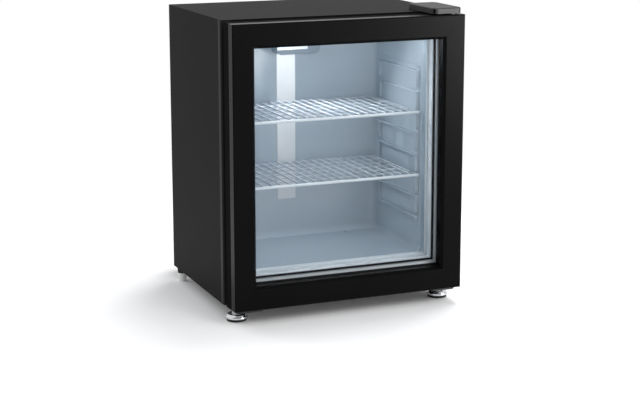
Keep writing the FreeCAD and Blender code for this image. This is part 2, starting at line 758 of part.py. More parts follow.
def cooling_unit():
    """The sealed pipework that hangs behind the cabinet, and the bar that guards it."""
    span = half_width - rail_inset
    rail_back = cabinet_back + rail_thickness
    upper_rail_z = top - upper_rail_drop
    rails = []
    for z in (tank_z, upper_rail_z):
        rails.append(block(-span, span, cabinet_back, rail_back, z - rail_height / 2, z + rail_height / 2))
    tank = rod(tank_radius, (tank_left, unit_y, tank_z), (tank_right, unit_y, tank_z))
    ends = [e for e in tank.Edges if isinstance(e.Curve, Part.Circle)]
    tank = tank.makeFillet(tank_end_radius, ends)
    nodes["absorber_tank"] = tank
    points = [(tank_left + coil_foot, unit_y, tank_z)]
    for i in range(coil_runs):
        z = coil_z + coil_pitch * i
        start = points[-1][0]
        finish = coil_right if i % 2 == 0 else coil_left
        points += [(start, unit_y, z), (finish, unit_y, z)]
    coil = pipe(coil_pipe_radius, points, coil_bend)
    nodes["absorber_coil"] = coil.cut(tank).cut(nodes["evaporator_tube"])
    boiler_top = boiler_z + boiler_length
    boiler = rod(boiler_radius, (boiler_x, unit_y, boiler_z), (boiler_x, unit_y, boiler_top))
    hollow = rod(boiler_radius - boiler_wall, (boiler_x, unit_y, boiler_z - overrun),
                 (boiler_x, unit_y, boiler_top - boiler_wall))
    reach = condenser_length / 2
    riser = pipe(riser_radius, [(boiler_x, unit_y, tank_z - liquid_pipe_radius),
                                (boiler_x, unit_y, condenser_z), (reach, unit_y, condenser_z)], riser_bend)
    link = rod(liquid_pipe_radius, (tank_right, unit_y, tank_z), (boiler_x, unit_y, tank_z))
    nodes["riser_pipe"] = riser
    nodes["liquid_pipe"] = link.cut(riser)
    nodes["boiler_sleeve"] = boiler.cut(hollow).cut(riser).cut(link)
    tube = rod(condenser_radius, (-reach, unit_y, condenser_z), (reach, unit_y, condenser_z))
    nodes["condenser_tube"] = tube
    nodes["evaporator_tube"] = nodes["evaporator_tube"].cut(tube)
    fins = []
    join = evaporator_pipe_spacing / 2
    room = evaporator_pipe_radius + fin_thickness
    for i in range(fin_count):
        x = (-reach + fin_margin) + (condenser_length - fin_margin * 2) * i / (fin_count - 1)
        if abs(x - join) > room:
            fin = block(x - fin_thickness / 2, x + fin_thickness / 2, unit_y - fin_width / 2,
                        unit_y + fin_width / 2, condenser_z - fin_height / 2, condenser_z + fin_height / 2)
            fins.append(fin.cut(tube))
    nodes["condenser_fins"] = Part.makeCompound(fins)
    tank_middle = (tank_left + tank_right) / 2
    for side in (-1, 1):
        x0 = side * (reach - strap_thickness)
        x1 = side * reach
        hanger = block(min(x0, x1), max(x0, x1), rail_back, unit_y + condenser_radius + strap_edge,
                       condenser_z - condenser_radius - strap_edge, upper_rail_z + rail_height / 2)
        rails.append(hanger.cut(tube))
        x = tank_middle + side * strap_spacing / 2
        foot = block(x - strap_width / 2, x + strap_width / 2, rail_back, unit_y,
                     tank_z - strap_edge, tank_z + strap_edge)
        rails.append(foot.cut(tank))
    foot = block(boiler_x - strap_width / 2, boiler_x + strap_width / 2, rail_back, unit_y,
                 boiler_z + strap_edge, tank_z + rail_height / 2)
    rails.append(foot.cut(boiler))
    nodes["unit_brackets"] = Part.makeCompound(rails)
    y = unit_back - guard_radius
    z = base + guard_rise
    left, right = -guard_half_width, guard_half_width
    points = [(left, cabinet_back, z), (left, y, z), (right, y, z), (right, cabinet_back, z)]
    nodes["rear_guard"] = pipe(guard_radius, points, guard_bend)


def controls():
    """The control box with its thermostat, knob and power inlet."""
    x0 = control_left
    x1 = x0 + control_width
    y0 = cabinet_back + rail_thickness
    y1 = y0 + control_depth
    z0 = base + control_rise
    z1 = z0 + control_height
    x = (x0 + x1) / 2
    box = block(x0, x1, y0, y1, z0, z1)
    box = rounded(box, control_corner, lambda p, d: abs(d.y) > parallel_share)
    room = block(x0 + control_wall, x1 - control_wall, y0 + control_wall, y1 - control_wall,
                 z0 + control_wall, z1 - control_wall)
    knob_z = z1 - knob_drop
    turn_hole = rod(spindle_radius + spindle_clearance,
                    (x, y0 + control_wall, knob_z), (x, y1 + overrun, knob_z))
    inlet_x0, inlet_x1 = x - inlet_width / 2, x + inlet_width / 2
    inlet_z0 = z0 + inlet_rise
    inlet_z1 = inlet_z0 + inlet_height
    socket = block(inlet_x0, inlet_x1, y1 + inlet_proud - inlet_depth, y1 + inlet_proud, inlet_z0, inlet_z1)
    nodes["control_box"] = box.cut(room).cut(turn_hole).cut(socket)
    well = block(inlet_x0 + inlet_wall, inlet_x1 - inlet_wall, y1 + inlet_proud - inlet_depth + inlet_wall,
                 y1 + inlet_proud + overrun, inlet_z0 + inlet_wall, inlet_z1 - inlet_wall)
    socket = socket.cut(well)
    middle_z = (inlet_z0 + inlet_z1) / 2
    for i in (-1, 0, 1):
        pin_x = x + inlet_pin_spacing * i
        blade = block(pin_x - inlet_pin / 2, pin_x + inlet_pin / 2,
                      y1 + inlet_proud - inlet_depth + inlet_wall, y1,
                      middle_z - inlet_pin, middle_z + inlet_pin)
        socket = socket.fuse(blade)
    nodes["power_inlet"] = socket.removeSplitter()
    y_body = y1 - control_wall - thermostat_depth
    half = thermostat_size / 2
    body = block(x - half, x + half, y_body, y1 - control_wall, knob_z - half, z1 - control_wall)
    nodes["thermostat_body"] = body.cut(turn_hole)
    knob_y = y1 + knob_gap
    spindle_end = knob_y + spindle_seat
    spindle = rod(spindle_radius, (x, spindle_end - spindle_length, knob_z), (x, spindle_end, knob_z))
    nodes["thermostat_spindle"] = spindle
    knob = rod(knob_radius, (x, knob_y, knob_z), (x, knob_y + knob_height, knob_z))
    crown = []
    for edge in knob.Edges:
        if isinstance(edge.Curve, Part.Circle) and edge.CenterOfMass.y > knob_y + knob_edge:
            crown.append(edge)
    knob = knob.makeFillet(knob_edge, crown)
    reach = knob_radius - knob_edge
    grip = block(x - knob_grip_width / 2, x + knob_grip_width / 2, knob_y + knob_height,
                 knob_y + knob_height + knob_grip_height, knob_z - reach, knob_z + reach)
    nodes["thermostat_knob"] = knob.fuse(grip).removeSplitter().cut(spindle)


def feet():
    """All four feet."""
    front_foot(-1, "front_foot_left")
    front_foot(1, "front_foot_right")
    rear_feet()


def build():
    """Makes every piece and writes one file for each."""
    cabinet()
    racks()
    nodes["shelf_lower"] = shelf(ribs_to_lower_shelf)
    nodes["shelf_upper"] = shelf(ribs_to_upper_shelf)
    lamp()
    door_frame()
    glazing()
    switch()
    hinges()
    feet()
    cooling_unit()
    controls()
    os.makedirs("parts", exist_ok=True)
    for name, shape in nodes.items():
        shape.exportStep("parts/" + name + ".step")


build()
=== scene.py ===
"""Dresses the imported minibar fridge: finishes, wire shelves, screws, threads, lamp and studio."""
import json
import logging
import math
from dataclasses import dataclass
from enum import Enum
from typing import Sequence

import bmesh
import bpy
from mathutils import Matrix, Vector

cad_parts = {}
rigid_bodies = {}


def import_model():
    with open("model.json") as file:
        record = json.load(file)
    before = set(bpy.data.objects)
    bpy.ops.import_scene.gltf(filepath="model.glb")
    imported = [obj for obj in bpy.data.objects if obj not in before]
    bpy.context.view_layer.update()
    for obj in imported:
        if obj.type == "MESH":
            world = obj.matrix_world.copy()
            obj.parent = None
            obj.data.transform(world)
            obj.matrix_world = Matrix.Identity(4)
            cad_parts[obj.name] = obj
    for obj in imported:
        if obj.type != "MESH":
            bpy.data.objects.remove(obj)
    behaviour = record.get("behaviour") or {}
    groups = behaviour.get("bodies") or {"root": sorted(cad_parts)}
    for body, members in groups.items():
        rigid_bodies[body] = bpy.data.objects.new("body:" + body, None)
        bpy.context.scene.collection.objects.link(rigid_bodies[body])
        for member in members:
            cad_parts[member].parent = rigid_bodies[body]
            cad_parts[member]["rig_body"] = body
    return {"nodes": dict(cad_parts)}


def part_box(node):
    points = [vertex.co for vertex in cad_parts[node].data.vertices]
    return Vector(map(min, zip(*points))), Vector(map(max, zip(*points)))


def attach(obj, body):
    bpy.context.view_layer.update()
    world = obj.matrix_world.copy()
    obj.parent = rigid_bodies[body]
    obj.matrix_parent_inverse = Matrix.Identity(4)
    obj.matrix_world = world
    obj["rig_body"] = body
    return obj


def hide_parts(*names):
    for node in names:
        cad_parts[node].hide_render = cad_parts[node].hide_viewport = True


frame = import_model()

log = logging.getLogger("minibar")

Colour = tuple[float, float, float]
Point = tuple[float, float, float]
Outline = Sequence[tuple[float, float]]

WHITE = (1.0, 1.0, 1.0, 1.0)
# Corners of a CAD mesh that are this close become one, in metres.
WELD_REACH = 0.000002
# Faces of a CAD mesh that turn by less than this become one, in degrees.
FLAT_ANGLE = 0.5
# Edges that turn by more than this stay sharp or are rounded: CAD pieces, turned ones and rings.
SHARP_ANGLE = 30.0
TURNED_CREASE = 40.0
RING_CREASE = 35.0
ROUNDING_STEPS = 2
# Points of a ring's outline that are this near its rectangle aren't raised by its sill, in metres.
OUTER_EDGE = 0.002


class Side(Enum):
    """The two sides of the fridge, as the sign of X."""

    LEFT = -1
    RIGHT = 1


class Hand(Enum):
    """Which way a screw's head looks."""

    UP = 1
    DOWN = -1


# Node trees


class Graph:
    """A material's node tree, with short ways to add nodes and join them."""

    def __init__(self, name: str) -> None:
        """Starts an empty material.

        Args:
            name: the material's name.
        """
        self.material = bpy.data.materials.new(name)
        self.material.use_nodes = True
        self.tree = self.material.node_tree
        self.tree.nodes.clear()
        self.output = self.add("ShaderNodeOutputMaterial")
        self.place = self.add("ShaderNodeTexCoord").outputs["Object"]

    def add(self, kind: str, **settings: object) -> bpy.types.Node:
        """Adds one node.

        Args:
            kind: the node's type name.
            settings: properties to set on it.

        Returns:
            The new node.
        """
        node = self.tree.nodes.new(kind)
        for key, value in settings.items():
            setattr(node, key, value)
        return node

    def join(self, source: bpy.types.NodeSocket, target: bpy.types.NodeSocket) -> None:
        """Links an output to an input."""
        self.tree.links.new(source, target)

    def noise(self, scale: float, detail: float = 3.0,
              stretch: Point = (1.0, 1.0, 1.0)) -> bpy.types.NodeSocket:
        """A noise in object space.

        Args:
            scale: how fine it is, in cells per metre.
            detail: octaves.
            stretch: how much finer it is along each axis.

        Returns:
            The factor output.
        """
        mapping = self.add("ShaderNodeMapping")
        mapping.inputs["Scale"].default_value = stretch
        self.join(self.place, mapping.inputs["Vector"])
        node = self.add("ShaderNodeTexNoise")
        node.inputs["Scale"].default_value = scale
        node.inputs["Detail"].default_value = detail
        self.join(mapping.outputs["Vector"], node.inputs["Vector"])
        return node.outputs["Fac"]

    def spread(self, value: bpy.types.NodeSocket, low: float, high: float, start: float = 0.0,
               end: float = 1.0, easing: str = "LINEAR") -> bpy.types.NodeSocket:
        """Maps a value from one range to another, held at both ends.

        Args:
            value: what is mapped.
            low: what comes out at the start.
            high: what comes out at the end.
            start: the first value of the range that goes in.
            end: its last value.
            easing: how it goes between, LINEAR or SMOOTHSTEP.

        Returns:
            The mapped output.
        """
        node = self.add("ShaderNodeMapRange", clamp=True, interpolation_type=easing)
        node.inputs["From Min"].default_value = start
        node.inputs["From Max"].default_value = end
        node.inputs["To Min"].default_value = low
        node.inputs["To Max"].default_value = high
        self.join(value, node.inputs["Value"])
        return node.outputs["Result"]

    def blend(self, share: bpy.types.NodeSocket, first: Colour, second: Colour) -> bpy.types.NodeSocket:
        """A colour between two, by a share.

        Args:
            share: 0 gives the first colour and 1 the second.
            first: one colour.
            second: the other.

        Returns:
            The colour output.
        """
        node = self.add("ShaderNodeMix", data_type="RGBA")
        node.inputs["A"].default_value = (*first, 1.0)
        node.inputs["B"].default_value = (*second, 1.0)
        self.join(share, node.inputs["Factor"])
        return node.outputs["Result"]

    def product(self, first: bpy.types.NodeSocket, second: bpy.types.NodeSocket) -> bpy.types.NodeSocket:
        """Two values multiplied.

        Args:
            first: one value.
            second: the other.

        Returns:
            The product's output.
        """
        node = self.add("ShaderNodeMath", operation="MULTIPLY")
        self.join(first, node.inputs[0])
        self.join(second, node.inputs[1])
        return node.outputs["Value"]

    def layered(self, share: bpy.types.NodeSocket, first: bpy.types.NodeSocket,
                second: bpy.types.NodeSocket) -> bpy.types.NodeSocket:
        """Two shaders mixed.

        Args:
            share: 0 gives the first shader and 1 the second.
            first: one shader.
            second: the other.

        Returns:
            The shader output.
        """
        node = self.add("ShaderNodeMixShader")
        self.join(share, node.inputs[0])
        self.join(first, node.inputs[1])
        self.join(second, node.inputs[2])
        return node.outputs["Shader"]

    def axis(self, name: str) -> bpy.types.NodeSocket:
        """One of the place's coordinates, in metres."""
        node = self.add("ShaderNodeSeparateXYZ")
        self.join(self.place, node.inputs["Vector"])
        return node.outputs[name]

    def relief(self, height: bpy.types.NodeSocket, strength: float, depth: float) -> bpy.types.NodeSocket:
        """A bumped normal.

        Args:
            height: the height, 0 to 1.
            strength: how strongly it shows.
            depth: how deep 1 is, in metres.

        Returns:
            The normal output.
        """
        node = self.add("ShaderNodeBump")
        node.inputs["Strength"].default_value = strength
        node.inputs["Distance"].default_value = depth
        self.join(height, node.inputs["Height"])
        return node.outputs["Normal"]

    def principled(self, **values: object) -> bpy.types.Node:
        """A Principled shader joined to the output.

        Args:
            values: numbers or colours by socket name, with _ for a space.

        Returns:
            The shader node.
        """
        shader = self.add("ShaderNodeBsdfPrincipled")
        for key, value in values.items():
            shader.inputs[key.replace("_", " ")].default_value = value
        self.join(shader.outputs["BSDF"], self.output.inputs["Surface"])
        return shader


made_materials: dict[str, bpy.types.Material] = {}


@dataclass(frozen=True)
class Coating:
    """What every finish has: a name, and a material that is built once."""

    name: str

    def material(self) -> bpy.types.Material:
        """Builds the material, or finds the one built before.

        Returns:
            The material.
        """
        if self.name not in made_materials:
            graph = Graph(self.name + "_finish")
            made_materials[self.name] = graph.material
            self.paint(graph)
        return made_materials[self.name]

    def paint(self, graph: Graph) -> None:
        """Adds the nodes of this kind of finish."""
        raise NotImplementedError


@dataclass(frozen=True)
class Finish(Coating):
    """A coated, moulded or bare surface: a colour that drifts a little, with a fine grain."""

    colour: Colour
    drift: Colour
    roughness: float = 0.45
    roughness_drift: float = 0.08
    metallic: float = 0.0
    specular: float = 0.5
    grain: float = 900.0
    grain_depth: float = 0.00004
    grain_strength: float = 0.25
    cloud: float = 9.0
    stretch: Point = (1.0, 1.0, 1.0)
    coat: float = 0.0
    cloud_octaves: float = 4.0
    grain_octaves: float = 2.0
    patches: tuple[float, float] = (0.3, 0.7)

    def paint(self, graph: Graph) -> None:
        """Adds the surface's nodes.

        Args:
            graph: the material's node tree.
        """
        shader = graph.principled(Metallic=self.metallic, Specular_IOR_Level=self.specular,
                                  Coat_Weight=self.coat)
        cloud = graph.noise(self.cloud, self.cloud_octaves)
        grain = graph.noise(self.grain, self.grain_octaves, self.stretch)
        share = graph.spread(cloud, 0.0, 1.0, *self.patches)
        graph.join(graph.blend(share, self.colour, self.drift), shader.inputs["Base Color"])
        low, high = self.roughness - self.roughness_drift, self.roughness + self.roughness_drift
        graph.join(graph.spread(grain, low, high, *self.patches), shader.inputs["Roughness"])
        graph.join(graph.relief(grain, self.grain_strength, self.grain_depth), shader.inputs["Normal"])


@dataclass(frozen=True)
class BrushedFinish(Finish):
    """Bare metal with fine lines along one axis."""

    metallic: float = 1.0
    grain: float = 60.0
    stretch: Point = (1.0, 1.0, 40.0)


@dataclass(frozen=True)
class PaneFinish(Coating):
    """Coated glass: it looks clear, dims the light that falls through and mirrors more at a low angle."""

    tint: Colour
    shade: Colour
    gloss: float = 0.02
    rim: float = 1.45
    smear: float = 0.03
    smear_scale: float = 14.0
    smear_octaves: float = 5.0
    smear_patches: tuple[float, float] = (0.4, 0.8)

    def paint(self, graph: Graph) -> None:
        """Adds the glass's nodes.

        Args:
            graph: the material's node tree.
        """
        path = graph.add("ShaderNodeLightPath")
        clear = graph.add("ShaderNodeBsdfTransparent")
        graph.join(graph.blend(path.outputs["Is Camera Ray"], self.shade, self.tint), clear.inputs["Color"])
        shine = graph.add("ShaderNodeBsdfPrincipled")
        shine.inputs["Base Color"].default_value = (0.0, 0.0, 0.0, 1.0)
        shine.inputs["Roughness"].default_value = self.gloss
        shine.inputs["Specular IOR Level"].default_value = 1.0
        smear = graph.noise(self.smear_scale, self.smear_octaves)
        graph.join(graph.spread(smear, self.gloss, self.gloss + self.smear, *self.smear_patches),
                   shine.inputs["Roughness"])
        fresnel = graph.add("ShaderNodeFresnel")
        fresnel.inputs["IOR"].default_value = self.rim
        entering = graph.spread(graph.add("ShaderNodeNewGeometry").outputs["Backfacing"], 1.0, 0.0)
        seen = graph.layered(graph.product(fresnel.outputs["Fac"], entering), clear.outputs["BSDF"],
                             shine.outputs["BSDF"])
        passing = graph.add("ShaderNodeBsdfTransparent")
        passing.inputs["Color"].default_value = (*self.shade, 1.0)
        whole = graph.layered(path.outputs["Is Shadow Ray"], seen, passing.outputs["BSDF"])
        graph.join(whole, graph.output.inputs["Surface"])


@dataclass(frozen=True)
class GlowFinish(Coating):
    """A surface that glows, its light fading along one axis: the lamp's lens, and the strip whose glow is
    painted light.
    """

    colour: Colour
    bright_end: float
    dim_end: float
    bright: float
    dim: float
    bend: float = 1.0
    along: str = "Z"
    roughness: float = 0.35
    cloud: float = 40.0
    patches: tuple[float, float] = (0.3, 0.7)
    patch_shade: float = 0.96

    def paint(self, graph: Graph) -> None:
        """Adds the diffuser's nodes.

        Args:
            graph: the material's node tree.
        """
        shader = graph.principled(Roughness=self.roughness)
        shade = graph.spread(graph.noise(self.cloud), 0.0, 1.0, *self.patches)
        colour = graph.blend(shade, self.colour, tuple(c * self.patch_shade for c in self.colour))
        graph.join(colour, shader.inputs["Base Color"])
        graph.join(colour, shader.inputs["Emission Color"])
        share = graph.spread(graph.axis(self.along), 0.0, 1.0, self.dim_end, self.bright_end)
        curve = graph.add("ShaderNodeMath", operation="POWER")
        curve.inputs[1].default_value = self.bend
        graph.join(share, curve.inputs[0])
        graph.join(graph.spread(curve.outputs["Value"], self.dim, self.bright),
                   shader.inputs["Emission Strength"])


CABINET_COAT = Finish("cabinet_coat", (0.0064, 0.0064, 0.0068), (0.0053, 0.0053, 0.0057), 0.57, 0.06,
                      specular=0.035, grain=1400.0, grain_depth=0.00003, grain_strength=0.35)
# Painted highlight: a lighter coat for the side panels' front band, where the folded front edge catches
# light.
CABINET_HEM_HIGHLIGHT = Finish("cabinet_hem", (0.012, 0.012, 0.0125), (0.010, 0.010, 0.0104), 0.45, 0.05,
                     specular=0.07, grain=1400.0, grain_depth=0.00002, grain_strength=0.25)
DOOR_BLACK = Finish("door_black", (0.0030, 0.0030, 0.0031), (0.0025, 0.0025, 0.0026), 0.27, 0.04,
                    specular=0.036, grain=1800.0, grain_depth=0.00002, grain_strength=0.3)
DOOR_REAR = Finish("door_rear_black", (0.0040, 0.0040, 0.0041), (0.0032, 0.0032, 0.0033), 0.7, 0.06,
                   specular=0.01, grain=2200.0, grain_depth=0.00003, grain_strength=0.4)
PLATE_BLACK = Finish("plate_black", (0.012, 0.012, 0.013), (0.009, 0.009, 0.010), 0.5, 0.1, specular=0.3)
UNIT_BLACK = Finish("unit_black", (0.014, 0.014, 0.015), (0.022, 0.022, 0.022), 0.38, 0.1, specular=0.5,
                    grain=260.0, grain_depth=0.0001)
MOULDED_BLACK = Finish("moulded_black", (0.016, 0.016, 0.017), (0.013, 0.013, 0.014), 0.55, 0.08,
                       grain=2400.0, grain_depth=0.00005, grain_strength=0.4)
LINER_WHITE = Finish("liner_white", (0.50, 0.565, 0.62), (0.48, 0.545, 0.605), 0.17, 0.04, grain=500.0,
                     grain_depth=0.00003, coat=0.5)
TRIM_WHITE = Finish("trim_white", (0.84, 0.88, 0.91), (0.82, 0.865, 0.90), 0.24, 0.05, grain=500.0,
                    grain_depth=0.00003, grain_strength=0.08)
# Painted shade: slate grey for the breaker strips' faces that turn sideways, where shade falls inside the
# opening.
STRIP_SIDE_SHADE = Finish("strip_slate", (0.36, 0.44, 0.50), (0.33, 0.41, 0.47), 0.4, 0.05, grain=700.0,
                     grain_depth=0.00003)
SHELF_COAT = Finish("shelf_coat", (0.51, 0.56, 0.60), (0.48, 0.53, 0.57), 0.36, 0.06, coat=0.12,
                    grain=700.0)
LAMP_CASE = Finish("lamp_case", (0.31, 0.37, 0.42), (0.28, 0.34, 0.39), 0.35, 0.05)
SEALANT_BLACK = Finish("sealant_black", (0.006, 0.006, 0.007), (0.009, 0.009, 0.010), 0.6, 0.08,
                       specular=0.1, grain=900.0)
GASKET_RUBBER = Finish("gasket_rubber", (0.010, 0.010, 0.011), (0.014, 0.014, 0.015), 0.6, 0.1,
                       specular=0.3, grain=700.0)
FOOT_RUBBER = Finish("foot_rubber", (0.014, 0.014, 0.014), (0.022, 0.021, 0.020), 0.75, 0.1,
                     specular=0.3, grain=1200.0, grain_depth=0.00008)
CHROME = Finish("chrome", (0.62, 0.63, 0.65), (0.58, 0.59, 0.61), 0.13, 0.05, metallic=1.0, grain=150.0,
                grain_strength=0.08)
BRIGHT_STEEL = BrushedFinish("bright_steel", (0.52, 0.53, 0.54), (0.45, 0.46, 0.47), 0.32, 0.1)
SLEEVE_STEEL = BrushedFinish("sleeve_steel", (0.50, 0.51, 0.52), (0.42, 0.43, 0.45), 0.36, 0.1,
                             stretch=(1.0, 1.0, 0.05), grain=900.0)
SPACER_METAL = Finish("spacer_metal", (0.34, 0.365, 0.38), (0.31, 0.335, 0.35), 0.5, 0.05, metallic=0.3,
                      grain_strength=0.1)
PLAIN_ALUMINIUM = BrushedFinish("plain_aluminium", (0.66, 0.67, 0.69), (0.6, 0.61, 0.63), 0.35, 0.08)
GLIDE_NYLON = Finish("glide_nylon", (0.80, 0.80, 0.79), (0.76, 0.76, 0.75), 0.5, 0.08)
NATURAL_PLASTIC = Finish("natural_plastic", (0.72, 0.71, 0.66), (0.68, 0.67, 0.62), 0.4, 0.08)
BOARD_GREEN = Finish("board_green", (0.03, 0.16, 0.07), (0.04, 0.20, 0.09), 0.4, 0.1, grain=300.0)
MARK_WHITE = Finish("mark_white", (0.62, 0.63, 0.63), (0.56, 0.57, 0.57), 0.6, 0.05)
MAGNET_GREY = Finish("magnet_grey", (0.12, 0.12, 0.125), (0.09, 0.09, 0.095), 0.5, 0.1)
RIGID_FOAM = Finish("rigid_foam", (0.72, 0.62, 0.36), (0.66, 0.55, 0.30), 0.9, 0.05, specular=0.2,
                    grain=350.0, grain_depth=0.0006, grain_strength=0.7)
PANE = PaneFinish("pane", (0.975, 0.982, 0.986), (0.950, 0.955, 0.960))
LENS_GLOW = GlowFinish("lens_glow", (0.93, 0.97, 1.0), -0.030, 0.0183, 0.78, 0.25, 0.8, "X")
# Painted light: the strip on the back wall glows though it is no lamp. Its glow stands in for the lamp's
# light down the back wall, brightest under the lamp and fading downward.
PAINTED_STRIP_GLOW = GlowFinish("strip_glow", (0.62, 0.637, 0.652), 0.370, 0.1375, 1.02, 0.12, 2.05)


# Meshes


def linked(name: str, mesh: bpy.types.Mesh) -> bpy.types.Object:
    """Puts a mesh in the scene as an object at the origin."""
    piece = bpy.data.objects.new(name, mesh)
    bpy.context.scene.collection.objects.link(piece)
    return piece


def coat(piece: bpy.types.Object, finish: Coating) -> None:
    """Gives a piece one finish all over."""
    piece.data.materials.clear()
    piece.data.materials.append(finish.material())


def settle(piece: bpy.types.Object, node: str) -> bpy.types.Object:
    """Makes a piece stand for a CAD node: it rides on the node's body, and the node is hidden.

    Args:
        piece: the finished piece.
        node: the node that it replaces.

    Returns:
        The same piece.
    """
    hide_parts(node)
    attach(piece, frame["nodes"][node]["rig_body"])
    log.info("%s stands for %s with %d faces", piece.name, node, len(piece.data.polygons))
    return piece


def plain_copy(piece: bpy.types.Object) -> bpy.types.Mesh:
    """The mesh of a piece with its modifiers applied.

    Args:
        piece: an object with modifiers.

    Returns:
        A new mesh.
    """
    bpy.context.view_layer.update()
    graph = bpy.context.evaluated_depsgraph_get()
    return bpy.data.meshes.new_from_object(piece.evaluated_get(graph))


@dataclass(frozen=True)
class FarFinish:
    """The finish that a piece has beyond one plane."""

    start: Point
    towards: Point
    finish: Finish


def softened(node: str, width: float, finish: Coating, far: FarFinish | None = None) -> bpy.types.Object:
    """A copy of a CAD node, smooth where it curves and with its sharp edges rounded.

    Args:
        node: the CAD node.
        width: the rounding's width in metres, or 0 for none.
        finish: the piece's finish.
        far: a second finish for the part of the piece beyond a plane.

    Returns:
        The new piece, riding where the node rides.
    """
    mesh = frame["nodes"][node].data.copy()
    shape = bmesh.new()
    shape.from_mesh(mesh)
    bmesh.ops.remove_doubles(shape, verts=shape.verts, dist=WELD_REACH)
    bmesh.ops.dissolve_limit(shape, angle_limit=math.radians(FLAT_ANGLE), verts=shape.verts,
                             edges=shape.edges)
    if far:
        bmesh.ops.bisect_plane(shape, geom=shape.verts[:] + shape.edges[:] + shape.faces[:],
                               plane_co=far.start, plane_no=far.towards)
    shape.to_mesh(mesh)
    shape.free()
    mesh.shade_smooth()
    mesh.set_sharp_from_angle(angle=math.radians(SHARP_ANGLE))
    rough = linked(node + "_rough", mesh)
    if width > 0.0:
        bevel = rough.modifiers.new("edges", "BEVEL")
        bevel.width = width
        bevel.segments = ROUNDING_STEPS
        bevel.limit_method = "ANGLE"
        bevel.angle_limit = math.radians(SHARP_ANGLE)
        bevel.miter_outer = "MITER_ARC"
        normals = rough.modifiers.new("normals", "WEIGHTED_NORMAL")
        normals.keep_sharp = True
    result = plain_copy(rough)
    bpy.data.objects.remove(rough)
    piece = linked(node + "_finished", result)
    coat(piece, finish)
    if far:
        result.materials.append(far.finish.material())
        for face in result.polygons:
            if (face.center - Vector(far.start)).dot(Vector(far.towards)) > 0.0:
                face.material_index = 1
    return settle(piece, node)


def dress(nodes: Sequence[str], finish: Coating) -> None:
    """Gives CAD nodes a finish and leaves their shape as it is.

    Args:
        nodes: names of CAD nodes.
        finish: the finish that they all get.
    """
    for node in nodes:
        coat(frame["nodes"][node], finish)
        log.info("%s keeps its shape", node)


class Repeater:
    """A geometry node tree with named inputs, run once and turned into a plain mesh."""

    def __init__(self, name: str) -> None:
        """Starts an empty tree.

        Args:
            name: the tree's name.
        """
        self.group = bpy.data.node_groups.new(name, "GeometryNodeTree")
        face = self.group.interface
        face.new_socket("Geometry", in_out="INPUT", socket_type="NodeSocketGeometry")
        face.new_socket("Geometry", in_out="OUTPUT", socket_type="NodeSocketGeometry")
        self.source = self.group.nodes.new("NodeGroupInput")
        self.sink = self.group.nodes.new("NodeGroupOutput")

    def takes(self, **kinds: str) -> list[bpy.types.NodeSocket]:
        """Adds named inputs.

        Args:
            kinds: each input's socket type, such as Float or Vector, by its name with _ for a space.

        Returns:
            The sockets that give their values inside the tree, in the same order.
        """
        names = [key.replace("_", " ") for key in kinds]
        for name, kind in zip(names, kinds.values()):
            self.group.interface.new_socket(name, in_out="INPUT", socket_type="NodeSocket" + kind)
        return [self.source.outputs[name] for name in names]

    def add(self, kind: str, links: dict[str, bpy.types.NodeSocket] | None = None,
            values: dict[str, object] | None = None, **settings: object) -> bpy.types.Node:
        """Adds one node.

        Args:
            kind: the node's type name, which may go without GeometryNode.
            links: sockets to join, by input name.
            values: plain values, by input name.
            settings: properties of the node.

        Returns:
            The new node.
        """
        whole = kind if kind.startswith(("Shader", "Function")) else "GeometryNode" + kind
        node = self.group.nodes.new(whole)
        for key, value in settings.items():
            setattr(node, key, value)
        for key, value in (values or {}).items():
            node.inputs[key].default_value = value
        for key, socket in (links or {}).items():
            self.group.links.new(socket, node.inputs[key])
        return node

    def reckon(self, operation: str, *values: bpy.types.NodeSocket) -> bpy.types.NodeSocket:
        """Adds one math node.

        Args:
            operation: what it does.
            values: what it works on, in order.

        Returns:
            The result's output.
        """
        node = self.add("ShaderNodeMath", operation=operation)
        for value, socket in zip(values, node.inputs):
            self.group.links.new(value, socket)
        return node.outputs["Value"]

    def swept(self, path: bpy.types.Node, outline: bpy.types.Node) -> bpy.types.NodeSocket:
        """Carries an outline along a path and closes both ends.

        Args:
            path: the node that gives the path.
            outline: the node that gives the outline.

        Returns:
            The mesh output.
        """
        node = self.add("CurveToMesh", {"Curve": path.outputs["Curve"],
                                        "Profile Curve": outline.outputs["Curve"]}, {"Fill Caps": True})
        return node.outputs["Mesh"]

    def ends(self, shape: bpy.types.NodeSocket, finish: bpy.types.NodeSocket, smooth: bool = True) -> None:
        """Closes the tree with Realize Instances and Set Material.

        Args:
            shape: the geometry.
            finish: the material input.
            smooth: whether faces are shaded smooth.
        """
        real = self.add("RealizeInstances", {"Geometry": shape})
        shade = self.add("SetShadeSmooth", {"Geometry": real.outputs["Geometry"]})
        shade.inputs["Shade Smooth"].default_value = smooth
        painted = self.add("SetMaterial", {"Geometry": shade.outputs["Geometry"], "Material": finish})
        self.group.links.new(painted.outputs["Geometry"], self.sink.inputs["Geometry"])

    def made(self, name: str, values: dict[str, object],
             base: bpy.types.Mesh | None = None) -> bpy.types.Object:
        """Runs the tree.

        Args:
            name: the new object's name.
            values: the inputs' values, by name.
            base: a mesh that the tree starts from, if it needs one.

        Returns:
            An object with a plain mesh.
        """
        holder = linked(name + "_source", base or bpy.data.meshes.new(name + "_source"))
        modifier = holder.modifiers.new(self.group.name, "NODES")
        modifier.node_group = self.group
        for item in self.group.interface.items_tree:
            if item.item_type == "SOCKET" and item.in_out == "INPUT" and item.name in values:
                modifier[item.identifier] = values[item.name]
        mesh = plain_copy(holder)
        bpy.data.objects.remove(holder)
        return linked(name, mesh)


